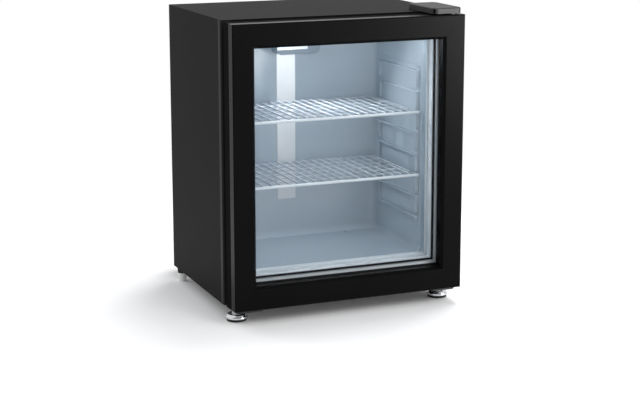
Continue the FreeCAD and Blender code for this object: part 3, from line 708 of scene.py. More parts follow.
def joined(name: str, pieces: Sequence[bpy.types.Object]) -> bpy.types.Object:
    """Joins several objects at the origin into one.

    Args:
        name: the joined object's name.
        pieces: what is joined, all of which disappear.

    Returns:
        The joined object.
    """
    shape = bmesh.new()
    slots: list[bpy.types.Material] = []
    for piece in pieces:
        part = piece.data.copy()
        for material in part.materials:
            if material not in slots:
                slots.append(material)
        moved = [slots.index(m) for m in part.materials]
        first = len(shape.faces)
        shape.from_mesh(part)
        shape.faces.ensure_lookup_table()
        for face in shape.faces[first:]:
            face.material_index = moved[face.material_index] if moved else 0
        bpy.data.objects.remove(piece)
    mesh = bpy.data.meshes.new(name)
    shape.to_mesh(mesh)
    shape.free()
    for material in slots:
        mesh.materials.append(material)
    return linked(name, mesh)


def rod_row_tree() -> Repeater:
    """A tree that lays a row of equal round rods.

    Returns:
        The tree, with inputs Start, Step, Count, Along, Radius, Sides and Finish.
    """
    tree = Repeater("rod_row")
    start, step, count, along, radius, sides, finish = tree.takes(
        Start="Vector", Step="Vector", Count="Int", Along="Vector", Radius="Float", Sides="Int",
        Finish="Material")
    row = tree.add("MeshLine", {"Count": count, "Start Location": start, "Offset": step}, mode="OFFSET")
    line = tree.add("CurvePrimitiveLine", {"End": along})
    ring = tree.add("CurvePrimitiveCircle", {"Resolution": sides, "Radius": radius})
    rod = tree.swept(line, ring)
    spots = tree.add("MeshToPoints", {"Mesh": row.outputs["Mesh"]})
    rods = tree.add("InstanceOnPoints", {"Points": spots.outputs["Points"], "Instance": rod})
    tree.ends(rods.outputs["Instances"], finish)
    return tree


def spread_tree() -> Repeater:
    """A tree that sets copies of one object on given points.

    Returns:
        The tree, with inputs Copy, Turn and Finish. It starts from a mesh of points.
    """
    tree = Repeater("set_on_points")
    copy, turn, finish = tree.takes(Copy="Object", Turn="Vector", Finish="Material")
    info = tree.add("ObjectInfo", {"Object": copy}, transform_space="ORIGINAL")
    spots = tree.add("MeshToPoints", {"Mesh": tree.source.outputs["Geometry"]})
    euler = tree.add("FunctionNodeEulerToRotation", {"Euler": turn})
    copies = tree.add("InstanceOnPoints", {"Points": spots.outputs["Points"],
                                           "Instance": info.outputs["Geometry"],
                                           "Rotation": euler.outputs["Rotation"]})
    tree.ends(copies.outputs["Instances"], finish, False)
    return tree


def thread_tree() -> Repeater:
    """A tree that winds a screw thread.

    Returns:
        The tree, with inputs Radius, Height, Turns, Wire, Place and Finish.
    """
    tree = Repeater("screw_thread")
    radius, height, turns, wire, place, finish = tree.takes(
        Radius="Float", Height="Float", Turns="Float", Wire="Float", Place="Vector", Finish="Material")
    steps_a_turn, wire_sides = 24, 4
    coil = tree.add("CurveSpiral", {"Rotations": turns, "Start Radius": radius, "End Radius": radius,
                                    "Height": height}, {"Resolution": steps_a_turn})
    ring = tree.add("CurvePrimitiveCircle", {"Radius": wire}, {"Resolution": wire_sides})
    set_down = tree.add("Transform", {"Geometry": tree.swept(coil, ring), "Translation": place})
    tree.ends(set_down.outputs["Geometry"], finish)
    return tree


def plate_row_tree() -> Repeater:
    """A tree that sets a row of equal thin plates, each with a collar round a tube along X.

    Returns:
        The tree, with inputs Start, Step, Count, Size, Collar, Bore, Gap Place, Gap Reach and Finish.
    """
    tree = Repeater("plate_row")
    start, step, count, size, collar, bore, gap_place, gap_reach, finish = tree.takes(
        Start="Vector", Step="Vector", Count="Int", Size="Vector", Collar="Float", Bore="Float",
        Gap_Place="Float", Gap_Reach="Float", Finish="Material")
    collar_sides = 24
    row = tree.add("MeshLine", {"Count": count, "Start Location": start, "Offset": step}, mode="OFFSET")
    plate = tree.add("MeshCube", {"Size": size})
    ring_round = tree.add("MeshCylinder", {"Radius": bore, "Depth": collar}, {"Vertices": collar_sides})
    lying = tree.add("Transform", {"Geometry": ring_round.outputs["Mesh"]},
                     {"Rotation": (0.0, math.pi / 2, 0.0)})
    both = tree.add("JoinGeometry")
    tree.group.links.new(plate.outputs["Mesh"], both.inputs["Geometry"])
    tree.group.links.new(lying.outputs["Geometry"], both.inputs["Geometry"])
    here = tree.add("ShaderNodeSeparateXYZ", {"Vector": tree.add("InputPosition").outputs["Position"]})
    away = tree.reckon("ABSOLUTE", tree.reckon("SUBTRACT", here.outputs["X"], gap_place))
    clear = tree.reckon("GREATER_THAN", away, gap_reach)
    spots = tree.add("MeshToPoints", {"Mesh": row.outputs["Mesh"], "Selection": clear})
    plates = tree.add("InstanceOnPoints", {"Points": spots.outputs["Points"],
                                           "Instance": both.outputs["Geometry"]})
    tree.ends(plates.outputs["Instances"], finish, False)
    return tree


def dial_tree() -> Repeater:
    """A tree that sets small raised bars round part of a circle that faces +Y.

    Returns:
        The tree, with inputs Place, Radius, Count, Bar and Finish.
    """
    tree = Repeater("dial_marks")
    place, radius, count, bar, finish = tree.takes(
        Place="Vector", Radius="Float", Count="Int", Bar="Vector", Finish="Material")
    first_mark, sweep = math.radians(-45.0), math.radians(270.0)
    arc = tree.add("CurveArc", {"Radius": radius}, {"Start Angle": first_mark, "Sweep Angle": sweep},
                   mode="RADIUS")
    marks = tree.add("CurveToPoints", {"Curve": arc.outputs["Curve"], "Count": count}, mode="COUNT")
    mark = tree.add("MeshCube", {"Size": bar})
    bars = tree.add("InstanceOnPoints", {"Points": marks.outputs["Points"],
                                         "Instance": mark.outputs["Mesh"],
                                         "Rotation": marks.outputs["Rotation"]})
    upright = tree.add("Transform", {"Geometry": bars.outputs["Instances"], "Translation": place},
                       {"Rotation": (math.pi / 2, 0.0, 0.0)})
    tree.ends(upright.outputs["Geometry"], finish, False)
    return tree


def shaped(name: str, shape: bmesh.types.BMesh, crease: float, finish: Coating) -> bpy.types.Object:
    """Turns a new shape into a piece whose faces point outwards.

    Args:
        name: the piece's name.
        shape: what the piece is made from, which is used up.
        crease: edges sharper than this many degrees stay sharp.
        finish: the piece's finish.

    Returns:
        The piece.
    """
    bmesh.ops.recalc_face_normals(shape, faces=shape.faces)
    mesh = bpy.data.meshes.new(name)
    shape.to_mesh(mesh)
    shape.free()
    mesh.shade_smooth()
    mesh.set_sharp_from_angle(angle=math.radians(crease))
    piece = linked(name, mesh)
    coat(piece, finish)
    return piece


def turned(name: str, outline: Outline, centre: Point, finish: Finish, steps: int) -> bpy.types.Object:
    """A round part turned from an outline about an upright axis.

    Args:
        name: the piece's name.
        outline: (radius, height) pairs from the bottom to the top.
        centre: where the axis meets height 0.
        finish: the piece's finish.
        steps: faces round the part.

    Returns:
        The piece.
    """
    shape = bmesh.new()
    rings: list[list[bmesh.types.BMVert]] = []
    for radius, height in outline:
        if radius <= 0.0:
            rings.append([shape.verts.new((centre[0], centre[1], centre[2] + height))])
            continue
        ring = []
        for i in range(steps):
            turn = 2 * math.pi * i / steps
            ring.append(shape.verts.new((centre[0] + radius * math.cos(turn),
                                         centre[1] + radius * math.sin(turn), centre[2] + height)))
        rings.append(ring)
    for lower, upper in zip(rings, rings[1:]):
        for i in range(steps):
            j = (i + 1) % steps
            if len(lower) == 1:
                shape.faces.new((lower[0], upper[j], upper[i]))
            elif len(upper) == 1:
                shape.faces.new((lower[i], lower[j], upper[0]))
            else:
                shape.faces.new((lower[i], lower[j], upper[j], upper[i]))
    return shaped(name, shape, TURNED_CREASE, finish)


def ring(name: str, outline: Outline, low: Vector, high: Vector, finish: Finish,
         sill: float = 0.0) -> bpy.types.Object:
    """A mitred ring: one outline carried round a rectangle that stands upright.

    Args:
        name: the piece's name.
        outline: (way in from the rectangle, Y) points of the ring's section, in order.
        low: the rectangle's lowest corner.
        high: its highest corner.
        finish: the piece's finish.
        sill: how much further in the lower side reaches, but for its outer edge.

    Returns:
        The ring.
    """
    shape = bmesh.new()
    loops = []
    for inset, depth in outline:
        x0, x1, z0, z1 = low.x + inset, high.x - inset, low.z + inset, high.z - inset
        if inset > OUTER_EDGE:
            z0 += sill
        loops.append([shape.verts.new(p) for p in ((x0, depth, z0), (x1, depth, z0),
                                                   (x1, depth, z1), (x0, depth, z1))])
    for here, there in zip(loops, loops[1:] + loops[:1]):
        for i in range(4):
            j = (i + 1) % 4
            shape.faces.new((here[i], here[j], there[j], there[i]))
    return shaped(name, shape, RING_CREASE, finish)


# Sub-assemblies


@dataclass
class Cabinet:
    """The steel skins, the foam, the liner and the strips round the opening."""

    fold_softness: float = 0.0007
    strip_softness: float = 0.0005
    hem_depth: float = 0.0115
    sideways: float = 0.7

    def strips(self) -> None:
        """The strips round the opening: white, with painted shade of slate grey on the faces that turn
        sideways into the cabinet.
        """
        strips = softened("breaker_strips", self.strip_softness, TRIM_WHITE)
        strips.data.materials.append(STRIP_SIDE_SHADE.material())
        # Faces that turn sideways take the painted shade.
        for face in strips.data.polygons:
            if abs(face.normal.x) > self.sideways:
                face.material_index = 1

    def build(self) -> None:
        """Makes and dresses the cabinet."""
        low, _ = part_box("side_panel_left")
        # The front band of each side panel takes the lighter coat, a painted highlight along the folded
        # front edge; behind it is the plain coat.
        behind_hem = FarFinish((0.0, low.y + self.hem_depth, 0.0), (0.0, 1.0, 0.0), CABINET_COAT)
        for node in ("side_panel_left", "side_panel_right"):
            softened(node, self.fold_softness, CABINET_HEM_HIGHLIGHT, far=behind_hem)
        for node in ("top_panel", "base_panel"):
            softened(node, self.fold_softness, CABINET_COAT)
        softened("rear_panel", 0.0, UNIT_BLACK)
        dress(["foam_body"], RIGID_FOAM)
        softened("liner", 0.0, LINER_WHITE)
        self.strips()
        softened("drain_tube", 0.0, NATURAL_PLASTIC)
        dress(["evaporator_plate"], PLAIN_ALUMINIUM)


@dataclass
class WireShelf:
    """One coated wire shelf: a thick front rail, a rim, cross wires and wires from front to rear."""

    node: str
    rail: float = 0.0023
    rim: float = 0.0017
    wire: float = 0.0014
    long_wires: int = 19
    cross_wires: int = 5
    weld_depth: float = 0.0005
    rail_sides: int = 16
    rim_sides: int = 14
    wire_sides: int = 12

    def build(self, row: Repeater) -> bpy.types.Object:
        """Makes the shelf in place of its CAD node.

        Args:
            row: the tree that lays rows of rods.

        Returns:
            The shelf.
        """
        low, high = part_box(self.node)
        reach = (high.x - low.x) / 2
        middle = (high.x + low.x) / 2
        front = low.y + self.rail
        rear = high.y - self.rim
        level = low.z + self.rail
        depth = rear - front

        def rods(name: str, start: Point, step: Point, count: int, along: Point, radius: float,
                 sides: int, finish: Finish = SHELF_COAT) -> bpy.types.Object:
            """Lays one row of rods."""
            return row.made(name, {"Start": start, "Step": step, "Count": count, "Along": along,
                                   "Radius": radius, "Sides": sides, "Finish": finish.material()})

        inner = reach - self.rim
        cross = depth / (self.cross_wires + 1)
        spacing = 2 * reach / (self.long_wires + 1)
        upper = level + self.wire * 2 - self.weld_depth
        parts = [
            # The front rail takes the brighter trim white instead of the shelf coat: painted light where
            # the room light falls on the rail.
            rods("rail", (middle - reach, front, level), (0, 0, 0), 1, (2 * reach, 0, 0), self.rail,
                 self.rail_sides, TRIM_WHITE),
            rods("back_rim", (middle - reach, rear, level), (0, 0, 0), 1, (2 * reach, 0, 0), self.rim,
                 self.rim_sides),
            rods("side_rims", (middle - inner, front, level), (2 * inner, 0, 0), 2, (0, depth, 0), self.rim,
                 self.rim_sides),
            rods("cross", (middle - inner, front + cross, level), (0, cross, 0), self.cross_wires,
                 (2 * inner, 0, 0), self.wire, self.wire_sides),
            rods("long", (middle - reach + spacing, front, upper), (spacing, 0, 0), self.long_wires,
                 (0, depth, 0), self.wire, self.wire_sides),
        ]
        return settle(joined(self.node + "_grid", parts), self.node)


@dataclass
class Interior:
    """Racks, shelves and the lamp."""

    shelves: tuple[str, ...] = ("shelf_lower", "shelf_upper")
    rack_softness: float = 0.0004
    lamp_softness: float = 0.0012
    lens_softness: float = 0.0005

    def build(self, row: Repeater) -> None:
        """Makes and dresses what is inside the cabinet.

        Args:
            row: the tree that lays rows of rods.
        """
        for node in self.shelves:
            WireShelf(node).build(row)
        for node in ("side_rack_left", "side_rack_right"):
            softened(node, self.rack_softness, LINER_WHITE)
        softened("lamp_housing", self.lamp_softness, LAMP_CASE)
        softened("lamp_lens", self.lens_softness, LENS_GLOW)
        # The light strip's glow is painted light, not a lamp.
        softened("light_strip", self.lens_softness, PAINTED_STRIP_GLOW)
        dress(["led_board"], BOARD_GREEN)
        softened("reed_switch", 0.0, PANE)


@dataclass
class Door:
    """The mitred frame, the glass unit, the white trim and the gasket."""

    mitre_softness: float = 0.0005
    front_part: float = 0.017
    pane_softness: float = 0.0004
    spacer_bar: float = 0.0045
    sealant: float = 0.0072
    cover: float = 0.022
    rim: float = 0.003
    lip: float = 0.0016
    lip_depth: float = 0.0135
    reach: float = 0.0115
    sill: float = 0.005
    border_sill: float = 0.007
    bar_round: float = 0.001
    bar_chamfer: float = 0.0006
    bed_step: float = 0.0004
    bed_chamfer: float = 0.0008
    border_thickness: float = 0.003
    border_chamfer: float = 0.0003
    bead_chamfer: float = 0.0006
    corner_long: float = 0.0012
    corner_short: float = 0.0004
    gasket_width: float = 0.015
    gasket_folds: Outline = ((0.0015, 0.0), (0.0015, 0.14), (0.0036, 0.27), (0.0015, 0.40),
                             (0.0036, 0.54), (0.0004, 0.68), (0.0, 0.92), (0.0010, 1.0))
    members: tuple[str, ...] = ("door_stile_left", "door_stile_right", "door_rail_top",
                                "door_rail_bottom")

    def spacer(self) -> None:
        """The metal spacer between the panes, bedded in black sealant on both sides."""
        low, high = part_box("glass_spacer")
        width = self.reach
        split = low.y + self.spacer_bar
        bar = [(self.sealant, low.y), (width - self.bar_round, low.y), (width, low.y + self.bar_round),
               (width, split - self.bar_chamfer), (width - self.bar_chamfer, split),
               (self.sealant, split)]
        bed = [(self.sealant, split), (width - self.bed_step, split), (width, split + self.bed_chamfer),
               (width, high.y - self.bed_chamfer), (width - self.bed_chamfer, high.y),
               (self.sealant, high.y)]
        back = [(0.0, low.y), (self.sealant, low.y), (self.sealant, high.y), (0.0, high.y)]
        parts = [ring("spacer_bar", bar, low, high, SPACER_METAL, self.sill),
                 ring("sealant_bed", bed, low, high, SEALANT_BLACK, self.sill),
                 ring("sealant_back", back, low, high, SEALANT_BLACK, self.sill)]
        settle(joined("glass_spacer_bedded", parts), "glass_spacer")

    def trim(self) -> None:
        """The trim: a dark border behind the glass and a white rim with a lip at the rear."""
        low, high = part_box("door_inner_frame")
        face, cover, tip = low.y, self.cover, self.cover + self.lip
        inner = cover - self.rim
        shelf, back = low.y + self.border_thickness, high.y
        split = back - self.lip_depth
        chamfer, long, short = self.bead_chamfer, self.corner_long, self.corner_short
        border = [(0.0, face), (cover - self.border_chamfer, face), (cover, face + self.border_chamfer),
                  (cover, split), (inner, split), (inner, shelf), (long, shelf), (0.0, shelf - long)]
        bead = [(inner, split), (tip - chamfer, split), (tip, split + chamfer), (tip, back - long),
                (tip - short, back - short), (tip - long, back), (inner + long, back),
                (inner + short, back - short), (inner, back - long)]
        parts = [ring("trim_border", border, low, high, SEALANT_BLACK, self.border_sill),
                 ring("trim_rim", bead, low, high, TRIM_WHITE, self.border_sill)]
        settle(joined("door_trim_lipped", parts), "door_inner_frame")

    def gasket(self) -> None:
        """The gasket: a flat base, two folds and the head that holds the magnet strip."""
        low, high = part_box("door_gasket")
        front, back = low.y, high.y
        outer = [(inset, front + (back - front) * share) for inset, share in self.gasket_folds]
        inner = [(self.gasket_width - inset, depth) for inset, depth in reversed(outer)]
        settle(ring("gasket_bellows", outer + inner, low, high, GASKET_RUBBER), "door_gasket")

    def build(self) -> None:
        """Makes and dresses the door."""
        low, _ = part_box("door_stile_left")
        behind = FarFinish((0.0, low.y + self.front_part, 0.0), (0.0, 1.0, 0.0), DOOR_REAR)
        for node in self.members:
            softened(node, self.mitre_softness, DOOR_BLACK, far=behind)
        for node in ("outer_glass", "inner_glass"):
            softened(node, self.pane_softness, PANE)
        self.spacer()
        self.trim()
        self.gasket()
        softened("corner_keys", self.mitre_softness, MOULDED_BLACK)
        dress(["door_magnet"], MAGNET_GREY)
        softened("door_bushes", 0.0, NATURAL_PLASTIC)


@dataclass
class Hinges:
    """Plates, pins, their cover and the screws."""

    plate_softness: float = 0.0004
    cover_softness: float = 0.0006
    head_radius: float = 0.004
    head_height: float = 0.0018
    head_sides: int = 20
    head_outline: Outline = ((1.0, 0.0), (1.0, 0.45), (0.86, 0.82), (0.6, 1.0), (0.42, 1.0), (0.3, 0.45),
                             (0.0, 0.4))
    shank_outline: Outline = ((0.0, -0.010), (0.0015, -0.010), (0.0025, -0.0085), (0.0025, 0.0))
    side_inset: float = 0.009
    rear_insets: tuple[float, float] = (0.009, 0.029)

    def screw(self) -> bpy.types.Object:
        """A pan head screw whose head rests on height 0, with its crown up.

        Returns:
            The screw, for copying.
        """
        head = [(self.head_radius * across, self.head_height * up) for across, up in self.head_outline]
        return turned("screw_pattern", [*self.shank_outline, *head], (0.0, 0.0, 0.0), BRIGHT_STEEL,
                      self.head_sides)

    def build(self, spots: Repeater) -> None:
        """Makes and dresses the hinges.

        Args:
            spots: the tree that sets copies on points.
        """
        for node in ("hinge_plate_lower", "hinge_plate_upper", "foot_plate_left"):
            softened(node, self.plate_softness, PLATE_BLACK)
        softened("hinge_cover", self.cover_softness, MOULDED_BLACK)
        for node in ("hinge_pin_lower", "hinge_pin_upper"):
            softened(node, self.plate_softness, BRIGHT_STEEL)
        pattern = self.screw()
        groups = []
        for plate, hand in (("hinge_plate_lower", Hand.DOWN), ("hinge_plate_upper", Hand.UP),
                            ("foot_plate_left", Hand.DOWN)):
            low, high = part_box(plate)
            level = low.z if hand is Hand.DOWN else high.z
            base = bpy.data.meshes.new(plate + "_places")
            xs = (low.x + self.side_inset, high.x - self.side_inset)
            ys = [high.y - inset for inset in self.rear_insets]
            base.from_pydata([(x, y, level) for x in xs for y in ys], [], [])
            turn = (math.pi, 0.0, 0.0) if hand is Hand.DOWN else (0.0, 0.0, 0.0)
            groups.append(spots.made(plate + "_screws", {"Copy": pattern, "Turn": turn,
                                                         "Finish": BRIGHT_STEEL.material()}, base))
        bpy.data.objects.remove(pattern)
        settle(joined("plate_screws_finished", groups), "plate_screws")


@dataclass
class LevellingFoot:
    """A chromed foot: rubber pad, bell-shaped cup, and a threaded stud with a nut."""

    side: Side
    steps: int = 64
    pad_outline: Outline = ((0.0, 0.0), (0.93, 0.0), (1.0, 0.12), (1.0, 0.3), (0.965, 0.36), (1.0, 0.42),
                            (1.0, 0.6), (0.965, 0.66), (1.0, 0.72), (1.0, 0.9), (0.97, 1.0), (0.0, 1.0))
    cup_outline: Outline = ((0.0, 0.0), (0.93, 0.0), (1.0, 0.08), (1.0, 0.3), (0.985, 0.42), (0.93, 0.5),
                            (0.90, 0.62), (0.885, 0.8), (0.84, 0.95), (0.76, 1.0), (0.0, 1.0))
    stud_softness: float = 0.0003
    thread_radius: float = 0.0039
    thread_pitch: float = 0.0011
    thread_wire: float = 0.0003
    bare_foot: float = 0.0045
    bare_top: float = 0.0035

    def name(self, piece: str) -> str:
        """The CAD node's name of one of the foot's pieces."""
        return f"front_foot_{self.side.name.lower()}_{piece}"

    def round_piece(self, piece: str, ending: str, shares: Outline, finish: Finish, x: float,
                    y: float) -> None:
        """Turns one piece about the foot's axis, within its CAD box.

        Args:
            piece: which of the foot's pieces it is.
            ending: what its name adds to the CAD node's.
            shares: its outline from the bottom to the top, in shares of its radius and height.
            finish: its finish.
            x: where the foot's axis stands.
            y: the same, along the depth.
        """
        low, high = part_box(self.name(piece))
        radius, height = (high.x - low.x) / 2, high.z - low.z
        outline = [(radius * across, height * up) for across, up in shares]
        turned_piece = turned(self.name(piece) + ending, outline, (x, y, low.z), finish, self.steps)
        settle(turned_piece, self.name(piece))

    def build(self, thread: Repeater) -> None:
        """Makes and dresses the foot.

        Args:
            thread: the tree that winds threads.
        """
        low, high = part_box(self.name("cup"))
        x, y = (low.x + high.x) / 2, (low.y + high.y) / 2
        self.round_piece("cup", "_bell", self.cup_outline, CHROME, x, y)
        self.round_piece("pad", "_ribbed", self.pad_outline, FOOT_RUBBER, x, y)
        stud_low, stud_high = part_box(self.name("stud"))
        softened(self.name("stud"), self.stud_softness, BRIGHT_STEEL)
        base = stud_low.z + self.bare_foot
        length = stud_high.z - base - self.bare_top
        coil = thread.made(self.name("thread"), {
            "Radius": self.thread_radius, "Height": length, "Turns": length / self.thread_pitch,
            "Wire": self.thread_wire, "Place": (x, y, base), "Finish": BRIGHT_STEEL.material()})
        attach(coil, frame["nodes"][self.name("stud")]["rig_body"])
        log.info("%s has %d faces", coil.name, len(coil.data.polygons))


@dataclass
class CoolingUnit:
    """The sealed pipework behind the cabinet, with its finned condenser and the guard."""

    fin_thickness: float = 0.001
    fin_count: int = 22
    collar: float = 0.0016
    bore: float = 0.0074
    pipe_radius: float = 0.005
    glide_height: float = 0.014
    edge_softness: float = 0.0004
    pipes: tuple[str, ...] = ("absorber_coil", "absorber_tank", "liquid_pipe", "riser_pipe",
                              "condenser_tube", "evaporator_tube", "rear_guard")

    def fins(self, plates: Repeater) -> None:
        """The condenser's fins: thin plates, each with a short collar on the tube.

        Args:
            plates: the tree that sets rows of plates.
        """
        low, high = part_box("condenser_fins")
        count = self.fin_count
        middle = (low + high) / 2
        _, pipe_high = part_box("evaporator_tube")
        step = (high.x - low.x - self.fin_thickness) / (count - 1)
        fins = plates.made("fin_plates", {
            "Start": (low.x + self.fin_thickness / 2, middle.y, middle.z), "Step": (step, 0, 0),
            "Count": count, "Size": (self.fin_thickness, high.y - low.y, high.z - low.z),
            "Collar": self.collar, "Bore": self.bore, "Gap Place": pipe_high.x - self.pipe_radius,
            "Gap Reach": self.pipe_radius + self.fin_thickness, "Finish": UNIT_BLACK.material()})
        settle(fins, "condenser_fins")

    def build(self, plates: Repeater) -> None:
        """Makes and dresses the unit.

        Args:
            plates: the tree that sets rows of plates.
        """
        for node in self.pipes:
            softened(node, 0.0, UNIT_BLACK)
        softened("unit_brackets", self.edge_softness, UNIT_BLACK)
        self.fins(plates)
        softened("boiler_sleeve", self.edge_softness, SLEEVE_STEEL)
        glide = FarFinish((0.0, 0.0, self.glide_height), (0.0, 0.0, -1.0), GLIDE_NYLON)
        softened("rear_feet", self.edge_softness, FOOT_RUBBER, far=glide)


@dataclass
class Controls:
    """The control box with its knob and inlet."""

    softness: float = 0.0005
    inlet_softness: float = 0.0003
    marks: int = 9
    marks_radius: float = 0.0168
    mark: Point = (0.0006, 0.0004, 0.0022)

    def build(self, dial: Repeater) -> None:
        """Makes and dresses the controls.

        Args:
            dial: the tree that sets the marks round the knob.
        """
        softened("control_box", self.softness, MOULDED_BLACK)
        softened("thermostat_knob", self.softness, MOULDED_BLACK)
        softened("thermostat_body", self.softness, NATURAL_PLASTIC)
        softened("thermostat_spindle", 0.0, BRIGHT_STEEL)
        softened("power_inlet", self.inlet_softness, MOULDED_BLACK)
        knob_low, knob_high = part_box("thermostat_knob")
        _, box_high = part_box("control_box")
        place = ((knob_low.x + knob_high.x) / 2, box_high.y, (knob_low.z + knob_high.z) / 2)
        marks = dial.made("dial_marks", {"Place": place, "Radius": self.marks_radius, "Count": self.marks,
                                         "Bar": self.mark, "Finish": MARK_WHITE.material()})
        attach(marks, frame["nodes"]["control_box"]["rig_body"])
        log.info("%s has %d faces", marks.name, len(marks.data.polygons))


@dataclass(frozen=True)
class Lamp:
    """A soft round lamp that looks at the fridge, either to light it or only to be mirrored in it."""

    name: str
    place: Point
    size: float
    power: float
    mirrored: bool = False

    def hang(self, target: Point) -> None:
        """Puts the lamp in the scene.

        Args:
            target: what it looks at.
        """
        data = bpy.data.lights.new(self.name, "AREA")
        data.shape = "DISK"
        data.size = self.size
        data.energy = self.power
        lamp = bpy.data.objects.new(self.name, data)
        lamp.visible_glossy = self.mirrored
        lamp.visible_diffuse = not self.mirrored
        lamp.location = self.place
        lamp.rotation_euler = (Vector(target) - Vector(self.place)).to_track_quat("-Z", "Y").to_euler()
        bpy.context.scene.collection.objects.link(lamp)


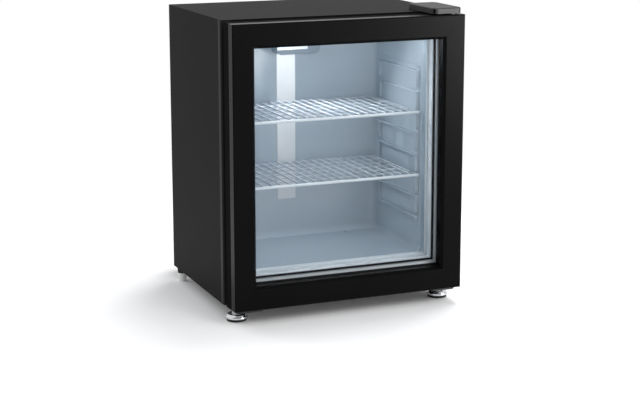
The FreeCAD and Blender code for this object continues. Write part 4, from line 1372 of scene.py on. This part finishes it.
@dataclass
class Studio:
    """Camera, lamps, world and floor."""

    camera_place: Point = (-0.9655, -2.3886, 0.7264)
    sensor: float = 36.0
    lens: float = 89.24
    yaw: float = 22.61
    pitch: float = 12.0
    shift: float = -0.03125
    clip_end: float = 60.0
    floor_size: float = 14.0
    floor_grey: float = 0.98
    world_light: float = 0.68
    world_colour: Colour = (0.97, 0.985, 1.0)
    lamp_target: Point = (0.0, 0.0, 0.24)
    lamps: tuple[Lamp, ...] = (
        Lamp("key", (0.5, -2.8, 2.4), 1.8, 44.0),
        Lamp("top", (0.9, 0.6, 2.8), 1.5, 56.0),
        Lamp("fill", (2.0, -2.4, 1.0), 1.6, 14.0),
        Lamp("sheen", (1.9, -2.25, 0.2), 0.9, 120.0, mirrored=True),
        Lamp("back", (-1.4, 1.6, 1.4), 1.4, 11.0),
    )
    lamp_gap: float = 0.014
    lamp_lift: float = 0.002
    lamp_share: float = 0.9
    lamp_turn: float = -50.0
    lamp_power: float = 0.43
    glow_gap: float = 0.016
    glow_lift: float = 0.012
    glow_length: float = 0.285
    glow_turn: float = 62.0
    glow_power: float = 0.10
    inner_width: float = 0.010
    inner_spread: float = 150.0
    lamp_colour: Colour = (0.94, 0.975, 1.0)
    near_white: float = 0.04
    shadow_reach: float = 0.30
    white_reach: float = 1.15

    def camera(self) -> None:
        """Sets up the camera at the photograph's viewing angle."""
        data = bpy.data.cameras.new("view")
        data.sensor_width = self.sensor
        data.lens = self.lens
        data.shift_y = self.shift
        data.clip_end = self.clip_end
        camera = bpy.data.objects.new("view", data)
        camera.location = self.camera_place
        camera.rotation_euler = (math.radians(90.0 - self.pitch), 0.0, math.radians(-self.yaw))
        bpy.context.scene.collection.objects.link(camera)
        bpy.context.scene.camera = camera

    def lights(self) -> None:
        """Sets up the lamps round the fridge and the two that stand for its own lamp."""
        for lamp in self.lamps:
            lamp.hang(self.lamp_target)
        low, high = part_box("lamp_lens")
        middle = (low.x + high.x) / 2
        self.inner_lamp("fridge_lamp", (middle, low.y - self.lamp_gap, low.z + self.lamp_lift),
                        (high.x - low.x) * self.lamp_share, self.lamp_turn, self.lamp_power)
        _, strips_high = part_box("breaker_strips")
        self.inner_lamp("ceiling_glow", (0.0, strips_high.y - self.glow_gap, high.z + self.glow_lift),
                        self.glow_length, self.glow_turn, self.glow_power)

    def inner_lamp(self, name: str, place: Point, length: float, turn: float, power: float) -> None:
        """A narrow lamp inside the fridge, which lights no floor.

        Args:
            name: the lamp's name.
            place: where its middle is.
            length: how long it is along X.
            turn: how far it is turned about X from looking down, in degrees.
            power: its power in watts.
        """
        data = bpy.data.lights.new(name, "AREA")
        data.shape = "RECTANGLE"
        data.size = length
        data.size_y = self.inner_width
        data.spread = math.radians(self.inner_spread)
        data.energy = power
        data.color = self.lamp_colour
        lamp = bpy.data.objects.new(name, data)
        lamp.visible_camera = False
        lamp.location = place
        lamp.rotation_euler = (math.radians(turn), 0.0, 0.0)
        bpy.context.scene.collection.objects.link(lamp)
        reach = bpy.data.collections.new(name + "_reach")
        reach.objects.link(bpy.data.objects["floor"])
        reach.collection_objects[0].light_linking.link_state = "EXCLUDE"
        lamp.light_linking.receiver_collection = reach

    def world(self) -> None:
        """A pale world that is white wherever it is seen or mirrored."""
        world = bpy.data.worlds.new("studio")
        world.use_nodes = True
        tree = world.node_tree
        tree.nodes.clear()
        output = tree.nodes.new("ShaderNodeOutputWorld")
        seen = tree.nodes.new("ShaderNodeBackground")
        seen.inputs["Color"].default_value = WHITE
        lit = tree.nodes.new("ShaderNodeBackground")
        lit.inputs["Color"].default_value = (*self.world_colour, 1.0)
        lit.inputs["Strength"].default_value = self.world_light
        mix = tree.nodes.new("ShaderNodeMixShader")
        tree.links.new(self.sight(tree), mix.inputs[0])
        tree.links.new(lit.outputs[0], mix.inputs[1])
        tree.links.new(seen.outputs[0], mix.inputs[2])
        tree.links.new(mix.outputs[0], output.inputs["Surface"])
        bpy.context.scene.world = world

    def sight(self, tree: bpy.types.NodeTree) -> bpy.types.NodeSocket:
        """A value that is 1 for camera, mirror and see-through rays.

        Args:
            tree: the node tree that needs it.

        Returns:
            The value's socket.
        """
        path = tree.nodes.new("ShaderNodeLightPath")
        total = path.outputs["Is Camera Ray"]
        for name in ("Is Glossy Ray", "Is Transmission Ray"):
            more = tree.nodes.new("ShaderNodeMath")
            more.operation = "MAXIMUM"
            tree.links.new(total, more.inputs[0])
            tree.links.new(path.outputs[name], more.inputs[1])
            total = more.outputs[0]
        return total

    def floor(self) -> None:
        """A wide pale floor that keeps the fridge's shadow and turns white further out."""
        half = self.floor_size / 2
        mesh = bpy.data.meshes.new("floor")
        mesh.from_pydata([(-half, -half, 0), (half, -half, 0), (half, half, 0), (-half, half, 0)], [],
                         [(0, 1, 2, 3)])
        plane = linked("floor", mesh)
        graph = Graph("floor_white")
        plain = graph.add("ShaderNodeBsdfDiffuse")
        plain.inputs["Color"].default_value = (self.floor_grey, self.floor_grey, self.floor_grey, 1.0)
        bright = graph.add("ShaderNodeEmission")
        bright.inputs["Color"].default_value = WHITE
        away = graph.add("ShaderNodeVectorMath", operation="LENGTH")
        graph.join(graph.place, away.inputs[0])
        far_share = graph.spread(away.outputs["Value"], self.near_white, 1.0, self.shadow_reach,
                                 self.white_reach, "SMOOTHSTEP")
        share = graph.product(self.sight(graph.tree), far_share)
        graph.join(graph.layered(share, plain.outputs[0], bright.outputs[0]),
                   graph.output.inputs["Surface"])
        mesh.materials.append(graph.material)

    def build(self) -> None:
        """Sets up the whole studio."""
        self.camera()
        self.floor()
        self.lights()
        self.world()
        bpy.context.scene.view_settings.view_transform = "Standard"


def main() -> None:
    """Builds every sub-assembly in order."""
    logging.basicConfig(level=logging.INFO, format="%(name)s: %(message)s")
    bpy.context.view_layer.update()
    Studio().build()
    row, spots, thread = rod_row_tree(), spread_tree(), thread_tree()
    plates, dial = plate_row_tree(), dial_tree()
    Cabinet().build()
    Interior().build(row)
    Door().build()
    Hinges().build(spots)
    for side in Side:
        LevellingFoot(side).build(thread)
    CoolingUnit().build(plates)
    Controls().build(dial)


if __name__ == "__main__":
    main()
